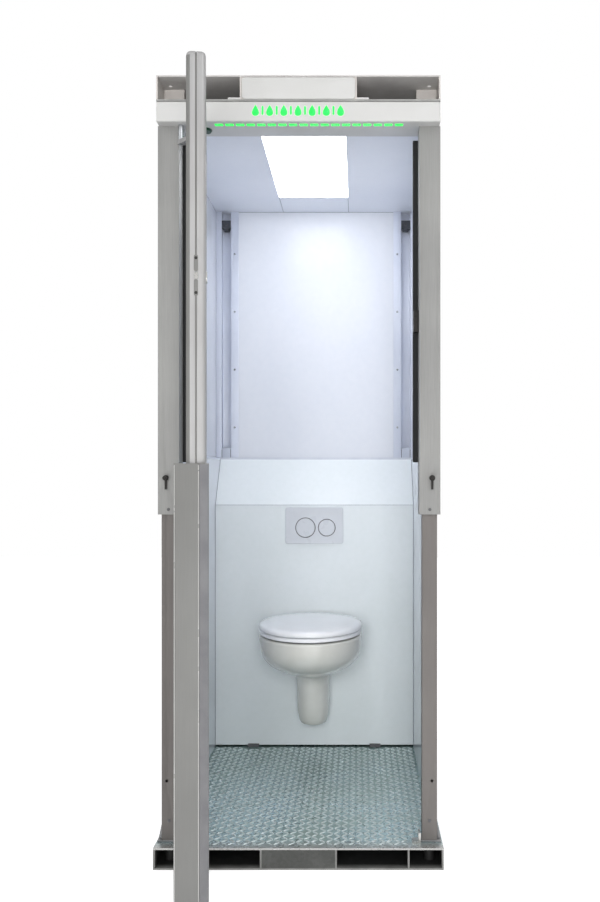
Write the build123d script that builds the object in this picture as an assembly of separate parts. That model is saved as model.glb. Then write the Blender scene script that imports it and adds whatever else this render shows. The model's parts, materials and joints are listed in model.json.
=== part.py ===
from build123d import *
from math import cos, radians, sin
import os

os.makedirs("parts", exist_ok=True)

# Pallet base: the origin is the middle of its underside, the door side faces -Y
BASE_WIDTH = 800.0
BASE_DEPTH = 1200.0
BASE_HEIGHT = 60.0
BASE_PLATE = 5.0
CENTRE_CELL = 202.0
BASE_POCKET = 195.0
SPACER_TUBE_RADIUS = 14.0
SPACER_TUBE_WALL = 5.0

# Front posts: a square tube stands on the base inside a sleeve of the upper cabin
POST_INSET = 35.5
POST_SETBACK = 69.0
LOWER_POST = 42.0
LOWER_POST_WALL = 3.0
LOWER_POST_TOP = 1186.0
SLEEVE_WIDTH = 59.0
SLEEVE_DEPTH = 62.0
SLEEVE_WALL = 4.0
FOOT_PLATE = 5.0
FOOT_MARGIN = 4.0
GUSSET_HEIGHT = 55.0
GUSSET_REACH = 12.0
GUSSET_PLATE = 6.0

# Rear posts: a smaller tube runs in the channel of a folded hat section
REAR_POST = 32.0
REAR_POST_SHIFT = 13.0
REAR_SETBACK = 45.0
HAT_SHEET = 3.0
HAT_DEPTH = 42.0
HAT_FLANGE = 30.5
CHANNEL_SLACK = 2.0
SCREW_HEAD_RADIUS = 4.0
SCREW_HEAD_HEIGHT = 2.0
SCREW_PITCH = 226.0
SCREW_COUNT = 5
FIRST_SCREW = 64.0

# Walls, and the slide pads that guide the upper cabin
WALL_OFFSET = 8.0
LOWER_WALL = 10.0
LOWER_WALL_TOP = 1140.0
UPPER_WALL = 4.0
WALL_SLOT_SLACK = 3.0
RUNNING_GAP = 4.0
EDGE_SEAL_HEIGHT = 8.0
EDGE_SEAL_MARGIN = 5.5
EDGE_SEAL_OVERHANG = 1.0
PAD_GAP = 0.3
PAD_LENGTH = 60.0
PAD_INSET = 4.0
LOWER_PAD_LENGTH = 36.0
LOWER_PAD_INSET = 6.0

# Upper cabin heights above the ground
UPPER_BOTTOM = 976.0
HEADER_BOTTOM = 2059.0
HEADER_DEPTH = 128.0
HEADER_WALL = 3.0
CEILING_BOTTOM = 2109.0
CEILING_PANEL = 6.0
PANEL_SEAM = 1.0
LIGHT_WIDTH = 254.0
LIGHT_LENGTH = 775.0
LIGHT_START = 42.0
DASH_COUNT = 18
DASH_PITCH = 29.4
DASH_LENGTH = 22.0
DASH_WIDTH = 14.0
DASH_HEIGHT = 1.5
DASH_ROW_SHIFT = 28.0
DASH_ROW_SETBACK = 27.0
SENSOR_X = -261.0
SENSOR_SETBACK = 70.0
SENSOR_LENGTH = 40.0
SENSOR_WIDTH = 24.0
SENSOR_HEIGHT = 6.0

# Roof pallet with two fork pockets
ROOF_STEP = 3.0
ROOF_DECK = 5.0
ROOF_HEIGHT = 66.0
ROOF_PLATE = 4.0
ROOF_CENTRE = 314.0
ROOF_POCKET = 169.0
ROOF_STOP_SETBACK = 95.0
ROOF_HOLE_RADIUS = 6.0
ROOF_COVER = 3.0
ROOF_COVER_GAP = 1.0

# Landing buffers stop the lowered cabin on the rear posts
BUFFER_BOTTOM = 2036.0
BUFFER_HEIGHT = 10.0
BUFFER_RADIUS = 12.0
BUFFER_BRACKET = 31.0
BUFFER_BOLT_RADIUS = 6.0
BUFFER_BOLT_HEAD = 4.0
LANDING_GAP = 2.0

# Cistern box behind the bowl
BOX_DEPTH = 137.0
PANEL_THICKNESS = 10.0
PANEL_FLOOR_GAP = 6.0
PANEL_TOP = 968.0
CLIP_SPACING = 456.0
CLIP_WIDTH = 41.0
CLIP_REACH = 10.0
CLIP_LIP = 6.0
CLIP_LIP_HEIGHT = 5.0

# Cistern, frame and pipes inside the box
TANK_WIDTH = 410.0
TANK_DEPTH = 100.0
TANK_BOTTOM = 620.0
TANK_HEIGHT = 310.0
TANK_WALL = 4.0
TANK_GAP = 10.0
TANK_HATCH_WIDTH = 120.0
TANK_HATCH_HEIGHT = 65.0
TANK_HATCH_TOP = 15.0
FRAME_TUBE = 40.0
FRAME_CLEARANCE = 10.0
FRAME_TOP = 955.0
STUD_PLATE = 16.0
STUD_PLATE_HEIGHT = 80.0
TANK_BEAM = 20.0
STUD_SPACING = 180.0
STUD_RADIUS = 6.0
STUD_REACH = 38.0
STUD_NUT_RADIUS = 10.0
STUD_NUT_HEIGHT = 10.0
FLUSH_PIPE_RADIUS = 22.0
FLUSH_PIPE_WALL = 3.0
FLUSH_PIPE_BEND = 50.0
FLUSH_PIPE_REACH = 24.0
DRAIN_RADIUS = 45.0
DRAIN_WALL = 4.0
DRAIN_BEND = 60.0
DRAIN_REACH = 24.0
DRAIN_LEAD = 11.0
PIPE_HOLE_SLACK = 2.0
SOCKET_GAP = 0.3
PUMP_WIDTH = 240.0
PUMP_HEIGHT = 140.0
PUMP_WALL = 4.0
PUMP_GAP = 16.0
PUMP_REAR_GAP = 10.0
PUMP_COLLAR_HEIGHT = 15.0
PUMP_COLLAR_WALL = 7.0
SERVICE_HEIGHT = 35.0
SERVICE_SPACING = 150.0
OUTLET_RADIUS = 25.0
OUTLET_WALL = 4.0
OUTLET_END_GAP = 2.0
INLET_RADIUS = 10.5
INLET_WALL = 3.0
INLET_BEND = 40.0
COLLAR_LENGTH = 4.0
COLLAR_RISE = 4.0
RELIEF_LENGTH = 3.0
RELIEF_DEPTH = 1.0
GLAND_RADIUS = 11.0
GLAND_LENGTH = 21.0
GLAND_SPIGOT_RADIUS = 8.0
GLAND_BORE_RADIUS = 4.0

# Wall-hung bowl, seat and lid
RIM_HEIGHT = 475.0
BOWL_PROJECTION = 530.0
BOWL_WIDTH = 356.0
BOWL_NOSE = 236.0
BOWL_DEPTH = 170.0
BOWL_TIP_LEAD = 59.0
BOWL_RIM = 38.0
BASIN_REAR = 170.0
BASIN_FLOOR = 63.0
SUMP_RADIUS = 20.0
SUMP_LEAD = 100.0
SUMP_RISE = 27.0
SUMP_OVERLAP = 10.0
TRAP_DROP = 367.0
TRAP_TOP_WIDTH = 129.0
TRAP_BOTTOM_WIDTH = 102.0
TRAP_FRONT = 174.0
TRAP_OVERLAP = 37.0
TRAP_FOOT_RADIUS = 24.0
FLUSH_DROP = 60.0
STUD_DROP = 80.0
DRAIN_DROP = 200.0
SEAT_GAP = 2.0
SEAT_THICKNESS = 16.0
SEAT_INSET = 2.0
SEAT_RIM = 64.0
SEAT_TAIL = 22.0
SEAT_EDGE_RADIUS = 4.0
SEAT_LUG = 4.0
SEAT_LUG_TAIL = 48.0
LID_GAP = 2.0
LID_THICKNESS = 25.0
LID_OVERHANG = 1.0
LID_CROWN_INSET = 34.0
LID_TAIL = 14.0
LID_LUG = 8.0
LID_LUG_TAIL = 40.0
HINGE_SETBACK = 64.0
HINGE_HEIGHT = 21.0
HINGE_SPACING = 150.0
HINGE_POST_WIDTH = 12.0
HINGE_POST_DEPTH = 16.0
HINGE_PIN_RADIUS = 5.0
HINGE_LUG_WIDTH = 14.0
HINGE_LUG_RADIUS = 9.0
HINGE_SIDE_GAP = 0.5
SHAFT_GAP = 0.05

# Bowl, basin and lid forms as shares of the height, then of the widening and of the forward reach
BOWL_LEVELS = (
    (0.0, 0.04, 0.1),
    (0.14, 0.22, 0.34),
    (0.35, 0.69, 0.73),
    (0.49, 0.86, 0.86),
    (0.69, 0.956, 0.957),
    (1.0, 1.0, 1.0),
)
BASIN_LEVELS = ((0.0, 0.25), (0.25, 0.5), (0.6, 0.88), (1.0, 1.0))
LID_LEVELS = ((0.0, 0.0), (0.45, 0.06), (0.8, 0.35), (1.0, 1.0))

# Flush plate and buttons
PLATE_WIDTH = 217.0
PLATE_HEIGHT = 136.0
PLATE_THICKNESS = 10.0
PLATE_RISE = 8.0
PLATE_CORNER = 8.0
PLATE_RIM = 23.0
BUTTON_DROP = 85.0
FULL_BUTTON_X = -33.0
FULL_BUTTON_RADIUS = 35.0
HALF_BUTTON_X = 47.0
HALF_BUTTON_RADIUS = 30.0
BUTTON_GAP = 0.5
BUTTON_PROUD = 1.0
BUTTON_DEPTH = 8.0

# Door: a lower leaf on the base pivot and an upper leaf that slides down into it
DOOR_OPEN_ANGLE = 81.5
PIVOT_INSET = 7.0
PIVOT_LEAD = 8.0
LATCH_GAP = 15.0
LEAF_LIFT = 10.0
LEAF_TOP = 1115.0
LEAF_START = 8.0
LEAF_FRONT = 2.0
LEAF_THICKNESS = 75.0
LEAF_STILE = 8.0
LEAF_HINGE_STILE = 6.0
LEAF_SKIN = 3.0
LEAF_RAIL = 30.0
LEAF_NOSE = 54.0
LEAF_NOSE_STEP = 3.0
LEAF_NOSE_RADIUS = 6.0
LEAF_BEAD_RADIUS = 2.7
UPPER_LEAF = 42.0
UPPER_LEAF_LENGTH = 1020.0
UPPER_LEAF_SIDE_GAP = 3.0
UPPER_LEAF_REAR_GAP = 3.5
UPPER_STILE = 46.0
UPPER_STILE_WALL = 4.0
UPPER_PANEL = 24.0
UPPER_EDGE_RADIUS = 9.0
GROOVE_WIDTH = 4.0
GROOVE_DEPTH = 2.5
TOP_PIVOT_DROP = 54.0
ARM_EYE_RADIUS = 9.0
TOP_ARM_THICKNESS = 12.0
TOP_ARM_LENGTH = 60.0
TOP_PIN_RADIUS = 5.0
TOP_SHOULDER_RADIUS = 7.5
BOTTOM_ARM_THICKNESS = 6.0
BOTTOM_ARM_LENGTH = 110.0
BOTTOM_PIN_RADIUS = 6.0
PIVOT_PLATE_LENGTH = 60.0
PIVOT_PLATE_WIDTH = 30.0
THRUST_GAP = 0.3
DOOR_SEAL_REACH = 14.0
DOOR_SEAL_DEPTH = 20.0
DOOR_SEAL_LEG = 17.0
DOOR_SEAL_SHEET = 4.0
DOOR_SEAL_BOTTOM = 1122.0
DOOR_SEAL_TOP = 2039.0

# Door lock and floor keep
LOCK_HEIGHT = 1520.0
BOLT_HEIGHT = 14.0
BOLT_WIDTH = 8.0
BOLT_LENGTH = 36.0
BOLT_GAP = 0.3
TURN_RADIUS = 13.0
TURN_THICKNESS = 3.0
TURN_GRIP = 6.0
TURN_RECESS = 2.0
TURN_SPINDLE_RADIUS = 4.0
TURN_SPINDLE_LENGTH = 12.0
KEEP_HEIGHT = 60.0
KEEP_DEPTH = 29.0
KEEP_REACH = 14.0
KEEP_FLOOR = 3.0
KEEP_SLACK = 2.0
FLOOR_KEEP_LENGTH = 33.0
FLOOR_KEEP_HEIGHT = 29.0
FLOOR_KEEP_WIDTH = 7.0
FLOOR_KEEP_TONGUE = 18.0
FLOOR_KEEP_PLATE = 5.0
FLOOR_KEEP_SETBACK = 4.0

# Quarter-turn lock pins on the front sleeves
LOCK_PIN_SHIFT = 6.5
LOCK_PIN_RISE = 102.0
LOCK_PIN_RADIUS = 4.0
LOCK_PIN_GAP = 0.3
LOCK_PIN_THROW = 12.0
LOCK_PIN_CLEARANCE = 3.0
LOCK_KNOB_RADIUS = 6.0
LOCK_KNOB_LENGTH = 4.0
LEVER_HUB_RADIUS = 8.0
LEVER_HUB_LENGTH = 8.0
LEVER_LENGTH = 32.0
LEVER_WIDTH = 6.0
LEVER_THICKNESS = 5.0

# Places that follow from the sizes above
POST_X = BASE_WIDTH / 2 - POST_INSET
POST_Y = POST_SETBACK - BASE_DEPTH / 2
SLEEVE_INNER = POST_X - SLEEVE_WIDTH / 2
SLEEVE_OUTER = POST_X + SLEEVE_WIDTH / 2
SLEEVE_FRONT = POST_Y - SLEEVE_DEPTH / 2
SLEEVE_REAR = POST_Y + SLEEVE_DEPTH / 2
CAVITY_X = SLEEVE_WIDTH / 2 - SLEEVE_WALL
CAVITY_Y = SLEEVE_DEPTH / 2 - SLEEVE_WALL
POST_REAR = POST_Y + LOWER_POST / 2
FOOT_TOP = BASE_HEIGHT + FOOT_PLATE
WALL_INNER = POST_X + WALL_OFFSET
WALL_OUTER = WALL_INNER + LOWER_WALL
UPPER_WALL_INNER = SLEEVE_OUTER - UPPER_WALL
REAR_POST_X = POST_X - REAR_POST_SHIFT
CHANNEL = REAR_POST + 2 * CHANNEL_SLACK
CHANNEL_IN = REAR_POST_X - CHANNEL / 2
CHANNEL_OUT = REAR_POST_X + CHANNEL / 2
HAT_FRONT = BASE_DEPTH / 2 - REAR_SETBACK
HAT_REAR = HAT_FRONT + HAT_DEPTH
CHANNEL_BACK = HAT_REAR - HAT_SHEET
REAR_POST_FRONT = HAT_FRONT + CHANNEL_SLACK
REAR_POST_REAR = REAR_POST_FRONT + REAR_POST
REAR_WALL_REAR = HAT_FRONT - RUNNING_GAP
REAR_WALL_FRONT = REAR_WALL_REAR - LOWER_WALL
DECK_BOTTOM = CEILING_BOTTOM + CEILING_PANEL
DECK_TOP = DECK_BOTTOM + ROOF_DECK
ROOF_TOP = DECK_TOP + ROOF_HEIGHT
ROOF_HALF = SLEEVE_OUTER - ROOF_STEP
HEADER_FRONT = -BASE_DEPTH / 2
HEADER_REAR = HEADER_FRONT + HEADER_DEPTH
LIFT_TRAVEL = BUFFER_BOTTOM - LOWER_POST_TOP - LANDING_GAP
PANEL_FRONT = REAR_WALL_FRONT - BOX_DEPTH
PANEL_REAR = PANEL_FRONT + PANEL_THICKNESS
BUTTON_HEIGHT = PANEL_TOP - BUTTON_DROP
PLATE_CENTRE = BUTTON_HEIGHT + PLATE_RISE
TANK_FRONT = PANEL_REAR + TANK_GAP
FRAME_INNER = TANK_WIDTH / 2 + FRAME_CLEARANCE
RIM_Z = BASE_HEIGHT + RIM_HEIGHT
FLUSH_Z = RIM_Z - FLUSH_DROP
STUD_Z = RIM_Z - STUD_DROP
DRAIN_Z = RIM_Z - DRAIN_DROP
SERVICE_Z = BASE_HEIGHT + SERVICE_HEIGHT
SERVICE_END = BASE_DEPTH / 2 - OUTLET_END_GAP
PUMP_FRONT = PANEL_REAR + PUMP_GAP
PUMP_REAR = REAR_WALL_FRONT - PUMP_REAR_GAP
BOWL_FRONT = PANEL_FRONT - BOWL_PROJECTION
BOWL_MIDDLE = BOWL_FRONT + BOWL_NOSE
HINGE_Y = PANEL_FRONT - HINGE_SETBACK
HINGE_Z = RIM_Z + HINGE_HEIGHT
SEAT_Z = RIM_Z + SEAT_GAP
LID_Z = SEAT_Z + SEAT_THICKNESS + LID_GAP
PIVOT_X = PIVOT_INSET - SLEEVE_INNER
PIVOT_Y = SLEEVE_FRONT - PIVOT_LEAD
LEAF_END = SLEEVE_INNER - LATCH_GAP - PIVOT_X
LEAF_BOTTOM = BASE_HEIGHT + LEAF_LIFT
LEAF_REAR = LEAF_FRONT + LEAF_THICKNESS
POCKET_START = LEAF_START + LEAF_HINGE_STILE
POCKET_END = LEAF_END - LEAF_STILE
UPPER_START = POCKET_START + UPPER_LEAF_SIDE_GAP
UPPER_END = POCKET_END - UPPER_LEAF_SIDE_GAP
UPPER_REAR = LEAF_REAR - LEAF_SKIN - UPPER_LEAF_REAR_GAP
UPPER_FRONT = UPPER_REAR - UPPER_LEAF
UPPER_MIDDLE = (UPPER_FRONT + UPPER_REAR) / 2
UPPER_TOP = HEADER_BOTTOM - TOP_PIVOT_DROP
UPPER_LOW = UPPER_TOP - UPPER_LEAF_LENGTH
TURN_ALONG = UPPER_END - UPPER_STILE / 2
LOCK_PIN_X = POST_X + LOCK_PIN_SHIFT
LOCK_PIN_HEIGHT = UPPER_BOTTOM + LOCK_PIN_RISE


def block(x, y, z):
    """Box between low and high values along X, Y and Z, given as pairs."""
    size = [high - low for low, high in (x, y, z)]
    middle = [(high + low) / 2 for low, high in (x, y, z)]
    return Pos(*middle) * Box(*size)


def around(middle, half):
    """Pair of values at one distance either side of a middle value."""
    return middle - half, middle + half


def rod(start, end, radius):
    """Round bar between two points."""
    start = Vector(*start)
    reach = Vector(*end) - start
    return extrude(Plane(origin=start, z_dir=reach) * Circle(radius), reach.length)


def tube(start, end, radius, wall):
    """Round tube between two points."""
    return rod(start, end, radius) - rod(start, end, radius - wall)


def bent_tube(points, radius, wall, bend):
    """Round tube along straight runs with one bend radius."""
    path = FilletPolyline(*points, radius=bend)
    ring = Circle(radius) - Circle(radius - wall)
    return sweep(Plane(origin=path @ 0, z_dir=path % 0) * ring, path)


def prism(points, plane, depth):
    """Straight solid on an outline of corners drawn on a plane."""
    return extrude(plane * make_face(Polyline(*points, close=True)), depth)


def twins(*solids):
    """The solids and their mirror images, left and right."""
    return [copy for solid in solids for copy in (solid, mirror(solid, about=Plane.YZ))]


def ends(*solids):
    """The solids and their mirror images, front and rear."""
    return [copy for solid in solids for copy in (solid, mirror(solid, about=Plane.XZ))]


def node(name, *shapes):
    """Write the solids of one named piece, or of one group of like pieces."""
    solids = [solid for shape in shapes for solid in shape.solids()]
    export_step(solids[0] if len(solids) == 1 else Compound(solids), f"parts/{name}.step")


def d_outline(half_width, front, middle, back):
    """Face with an elliptical front, straight sides and a straight back."""
    nose = EllipticalCenterArc((0, middle), half_width, middle - front, 180, arc_size=180)
    sides = Polyline((half_width, middle), (half_width, back), (-half_width, back), (-half_width, middle))
    return make_face(nose.edges() + sides.edges())


def egg_outline(half_width, front, middle, back):
    """Face bounded by two half ellipses of one width and two lengths."""
    nose = EllipticalCenterArc((0, middle), half_width, middle - front, 180, arc_size=180)
    tail = EllipticalCenterArc((0, middle), half_width, back - middle, 0, arc_size=180)
    return make_face(nose.edges() + tail.edges())


def stacked(*levels):
    """Smooth solid through outlines at rising heights."""
    return loft([Pos(0, 0, height) * outline for height, outline in levels])


def build_base():
    """Pallet base: two plates with webs between them, open to forks at both ends."""
    half_width = BASE_WIDTH / 2
    half_depth = BASE_DEPTH / 2
    cell = (BASE_PLATE, BASE_HEIGHT - BASE_PLATE)
    whole_x = (-half_width, half_width)
    whole_y = (-half_depth, half_depth)
    inner_web = CENTRE_CELL / 2
    outer_web = inner_web + BASE_PLATE + BASE_POCKET
    web_starts = (inner_web, outer_web, half_width - BASE_PLATE)
    webs = [block((start, start + BASE_PLATE), whole_y, cell) for start in web_starts]
    spacer = tube((POST_X, POST_Y, cell[0]), (POST_X, POST_Y, cell[1]), SPACER_TUBE_RADIUS, SPACER_TUBE_WALL)
    cover = block((-inner_web, inner_web), (-half_depth, BASE_PLATE - half_depth), cell)
    node("base_bottom_plate", block(whole_x, whole_y, (0, BASE_PLATE)))
    node("base_webs", *twins(*webs, *ends(spacer)))
    node("base_centre_covers", *ends(cover))
    node("floor_treadplate", block(whole_x, whole_y, (cell[1], BASE_HEIGHT)))


def lock_holes():
    """Holes in a front post for the lock pin, with the cabin raised and lowered."""
    heights = (LOCK_PIN_HEIGHT, LOCK_PIN_HEIGHT - LIFT_TRAVEL)
    radius = LOCK_PIN_RADIUS + LOCK_PIN_GAP
    return [rod((LOCK_PIN_X, POST_Y - LOWER_POST, z), (LOCK_PIN_X, POST_Y, z), radius) for z in heights]


def build_lower_posts():
    """Four standing tubes on feet, with slide pads round the tops."""
    rise = (FOOT_TOP, LOWER_POST_TOP)
    floor = (BASE_HEIGHT, FOOT_TOP)
    half = LOWER_POST / 2
    bore = half - LOWER_POST_WALL
    front = block(around(POST_X, half), around(POST_Y, half), rise)
    front -= block(around(POST_X, bore), around(POST_Y, bore), rise)
    front -= lock_holes()
    rear_y = (REAR_POST_FRONT, REAR_POST_REAR)
    rear_bore_y = (REAR_POST_FRONT + LOWER_POST_WALL, REAR_POST_REAR - LOWER_POST_WALL)
    rear = block(around(REAR_POST_X, REAR_POST / 2), rear_y, rise)
    rear -= block(around(REAR_POST_X, REAR_POST / 2 - LOWER_POST_WALL), rear_bore_y, rise)
    node("lower_posts", *twins(front, rear))

    outer_edge = POST_X + half + GUSSET_REACH
    foot = block((POST_X - half - FOOT_MARGIN, outer_edge), (POST_Y - half - FOOT_MARGIN, POST_REAR), floor)
    corners = [(POST_X + half, FOOT_TOP), (outer_edge, FOOT_TOP), (POST_X + half, FOOT_TOP + GUSSET_HEIGHT)]
    foot += prism(corners, Plane.XZ.offset(-POST_Y - GUSSET_PLATE / 2), GUSSET_PLATE)
    rear_foot = block(
        around(REAR_POST_X, REAR_POST / 2 + FOOT_MARGIN),
        (REAR_POST_FRONT, REAR_POST_REAR + FOOT_MARGIN),
        floor,
    )
    node("post_feet", *twins(foot, rear_foot))

    pad_top = LOWER_POST_TOP - LOWER_PAD_INSET
    pad = (pad_top - LOWER_PAD_LENGTH, pad_top)
    ring = block(around(POST_X, CAVITY_X - PAD_GAP), around(POST_Y, CAVITY_Y - PAD_GAP), pad)
    ring -= block(around(POST_X, half), around(POST_Y, half), pad)
    lining = block(
        around(REAR_POST_X, CHANNEL / 2 - PAD_GAP),
        (HAT_FRONT + HAT_SHEET, CHANNEL_BACK - PAD_GAP),
        pad,
    )
    lining -= block(around(REAR_POST_X, REAR_POST / 2), (HAT_FRONT, REAR_POST_REAR), pad)
    node("lower_slide_pads", *twins(ring, lining))


def build_lower_walls():
    """Three standing walls, their rear spacers and the soft seal on their top edge."""
    rise = (BASE_HEIGHT, LOWER_WALL_TOP)
    side = block((WALL_INNER, WALL_OUTER), (POST_REAR, REAR_WALL_REAR), rise)
    rear_y = (REAR_WALL_FRONT, REAR_WALL_REAR)
    rear = block((-WALL_INNER, WALL_INNER), rear_y, rise)
    services = (
        (0, OUTLET_RADIUS),
        (SERVICE_SPACING, INLET_RADIUS),
        (-SERVICE_SPACING, GLAND_SPIGOT_RADIUS),
    )
    for x, radius in services:
        rear -= rod((x, rear_y[0], SERVICE_Z), (x, rear_y[1], SERVICE_Z), radius + SOCKET_GAP)
    node("lower_walls", rear, *twins(side))

    spacer_x = around(REAR_POST_X, REAR_POST / 2 - LOWER_POST_WALL)
    spacer = block(spacer_x, (REAR_WALL_REAR, REAR_POST_FRONT), (FOOT_TOP, LOWER_WALL_TOP))
    node("rear_wall_spacers", *twins(spacer))

    seal_z = (LOWER_WALL_TOP, LOWER_WALL_TOP + EDGE_SEAL_HEIGHT)
    seal_out = WALL_OUTER + EDGE_SEAL_MARGIN
    seal_y = (SLEEVE_REAR + RUNNING_GAP, REAR_WALL_REAR + EDGE_SEAL_OVERHANG)
    seal = block((-seal_out, seal_out), seal_y, seal_z)
    seal -= block((-WALL_INNER, WALL_INNER), (seal_y[0], REAR_WALL_FRONT), seal_z)
    node("wall_edge_seal", seal)


def build_cistern_box():
    """Upright panel and sloped panel that hide the cistern, with two floor clips."""
    panel_y = (PANEL_FRONT, PANEL_REAR)
    panel_low = BASE_HEIGHT + PANEL_FLOOR_GAP
    panel = block((-WALL_INNER, WALL_INNER), panel_y, (panel_low, PANEL_TOP))
    window_half = (PLATE_WIDTH / 2 - PLATE_RIM, PLATE_HEIGHT / 2 - PLATE_RIM)
    panel -= block(around(0, window_half[0]), panel_y, around(BUTTON_HEIGHT, window_half[1]))
    holes = (
        (0, FLUSH_Z, FLUSH_PIPE_RADIUS),
        (0, DRAIN_Z, DRAIN_RADIUS),
        (STUD_SPACING / 2, STUD_Z, STUD_RADIUS),
        (-STUD_SPACING / 2, STUD_Z, STUD_RADIUS),
    )
    for x, z, radius in holes:
        panel -= rod((x, panel_y[0], z), (x, panel_y[1], z), radius + PIPE_HOLE_SLACK)
    node("cistern_panel", panel)

    rise = LOWER_WALL_TOP - PANEL_TOP
    slant = (BOX_DEPTH**2 + rise**2) ** 0.5
    foot_depth = PANEL_THICKNESS * slant / rise
    edge_height = PANEL_THICKNESS * slant / BOX_DEPTH
    corners = [
        (PANEL_FRONT, PANEL_TOP),
        (REAR_WALL_FRONT, LOWER_WALL_TOP),
        (REAR_WALL_FRONT, LOWER_WALL_TOP - edge_height),
        (PANEL_FRONT + foot_depth, PANEL_TOP),
    ]
    node("cistern_slope", prism(corners, Plane.YZ.offset(-WALL_INNER), 2 * WALL_INNER))

    clip_x = around(CLIP_SPACING / 2, CLIP_WIDTH / 2)
    clip = block(clip_x, (PANEL_FRONT - CLIP_REACH, PANEL_REAR), (BASE_HEIGHT, panel_low))
    clip += block(clip_x, (PANEL_FRONT - CLIP_LIP, PANEL_FRONT), (panel_low, panel_low + CLIP_LIP_HEIGHT))
    node("panel_clips", *twins(clip))


def build_cistern():
    """Cistern tank and the steel frame that carries it and the bowl."""
    tank_y = (TANK_FRONT, TANK_FRONT + TANK_DEPTH)
    tank_z = (TANK_BOTTOM, TANK_BOTTOM + TANK_HEIGHT)
    inside = [(low + TANK_WALL, high - TANK_WALL) for low, high in (around(0, TANK_WIDTH / 2), tank_y, tank_z)]
    hatch_top = tank_z[1] - TANK_HATCH_TOP
    tank = block(around(0, TANK_WIDTH / 2), tank_y, tank_z) - block(*inside)
    tank -= block(
        around(0, TANK_HATCH_WIDTH / 2),
        (tank_y[0], tank_y[0] + TANK_WALL),
        (hatch_top - TANK_HATCH_HEIGHT, hatch_top),
    )
    node("cistern_tank", tank)

    upright_y = (PANEL_REAR, PANEL_REAR + FRAME_TUBE)
    frame = block((FRAME_INNER, FRAME_INNER + FRAME_TUBE), upright_y, (BASE_HEIGHT, FRAME_TOP))
    frame += mirror(frame, about=Plane.YZ)
    plate_y = (PANEL_REAR, PANEL_REAR + STUD_PLATE)
    across = around(0, FRAME_INNER)
    frame += block(across, plate_y, around((FLUSH_Z + STUD_Z) / 2, STUD_PLATE_HEIGHT / 2))
    frame += block(across, (TANK_FRONT, TANK_FRONT + TANK_BEAM), (TANK_BOTTOM - TANK_BEAM, TANK_BOTTOM))
    pipe_hole = FLUSH_PIPE_RADIUS + PIPE_HOLE_SLACK
    frame -= rod((0, plate_y[0], FLUSH_Z), (0, plate_y[1], FLUSH_Z), pipe_hole)
    stud_x = STUD_SPACING / 2
    for x in (-stud_x, stud_x):
        frame -= rod((x, plate_y[0], STUD_Z), (x, plate_y[1], STUD_Z), STUD_RADIUS + SHAFT_GAP)
    node("support_frame", frame)

    stud_end = plate_y[1] + STUD_NUT_HEIGHT
    stud = rod((stud_x, PANEL_FRONT - STUD_REACH, STUD_Z), (stud_x, stud_end, STUD_Z), STUD_RADIUS)
    stud += rod((stud_x, plate_y[1], STUD_Z), (stud_x, stud_end, STUD_Z), STUD_NUT_RADIUS)
    node("bowl_studs", *twins(stud))


def collared(pipe, x, radius, wall):
    """Pipe end with a collar against the rear wall and a relief groove behind its free length."""
    collar_end = REAR_WALL_REAR + COLLAR_LENGTH
    relief_end = collar_end + RELIEF_LENGTH
    face = (x, REAR_WALL_REAR, SERVICE_Z)
    shoulder = (x, collar_end, SERVICE_Z)
    rim = radius + COLLAR_RISE
    collar = tube(face, shoulder, rim, COLLAR_RISE + wall)
    groove = tube(shoulder, (x, relief_end, SERVICE_Z), rim, COLLAR_RISE + RELIEF_DEPTH)
    return pipe + collar - groove


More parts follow.
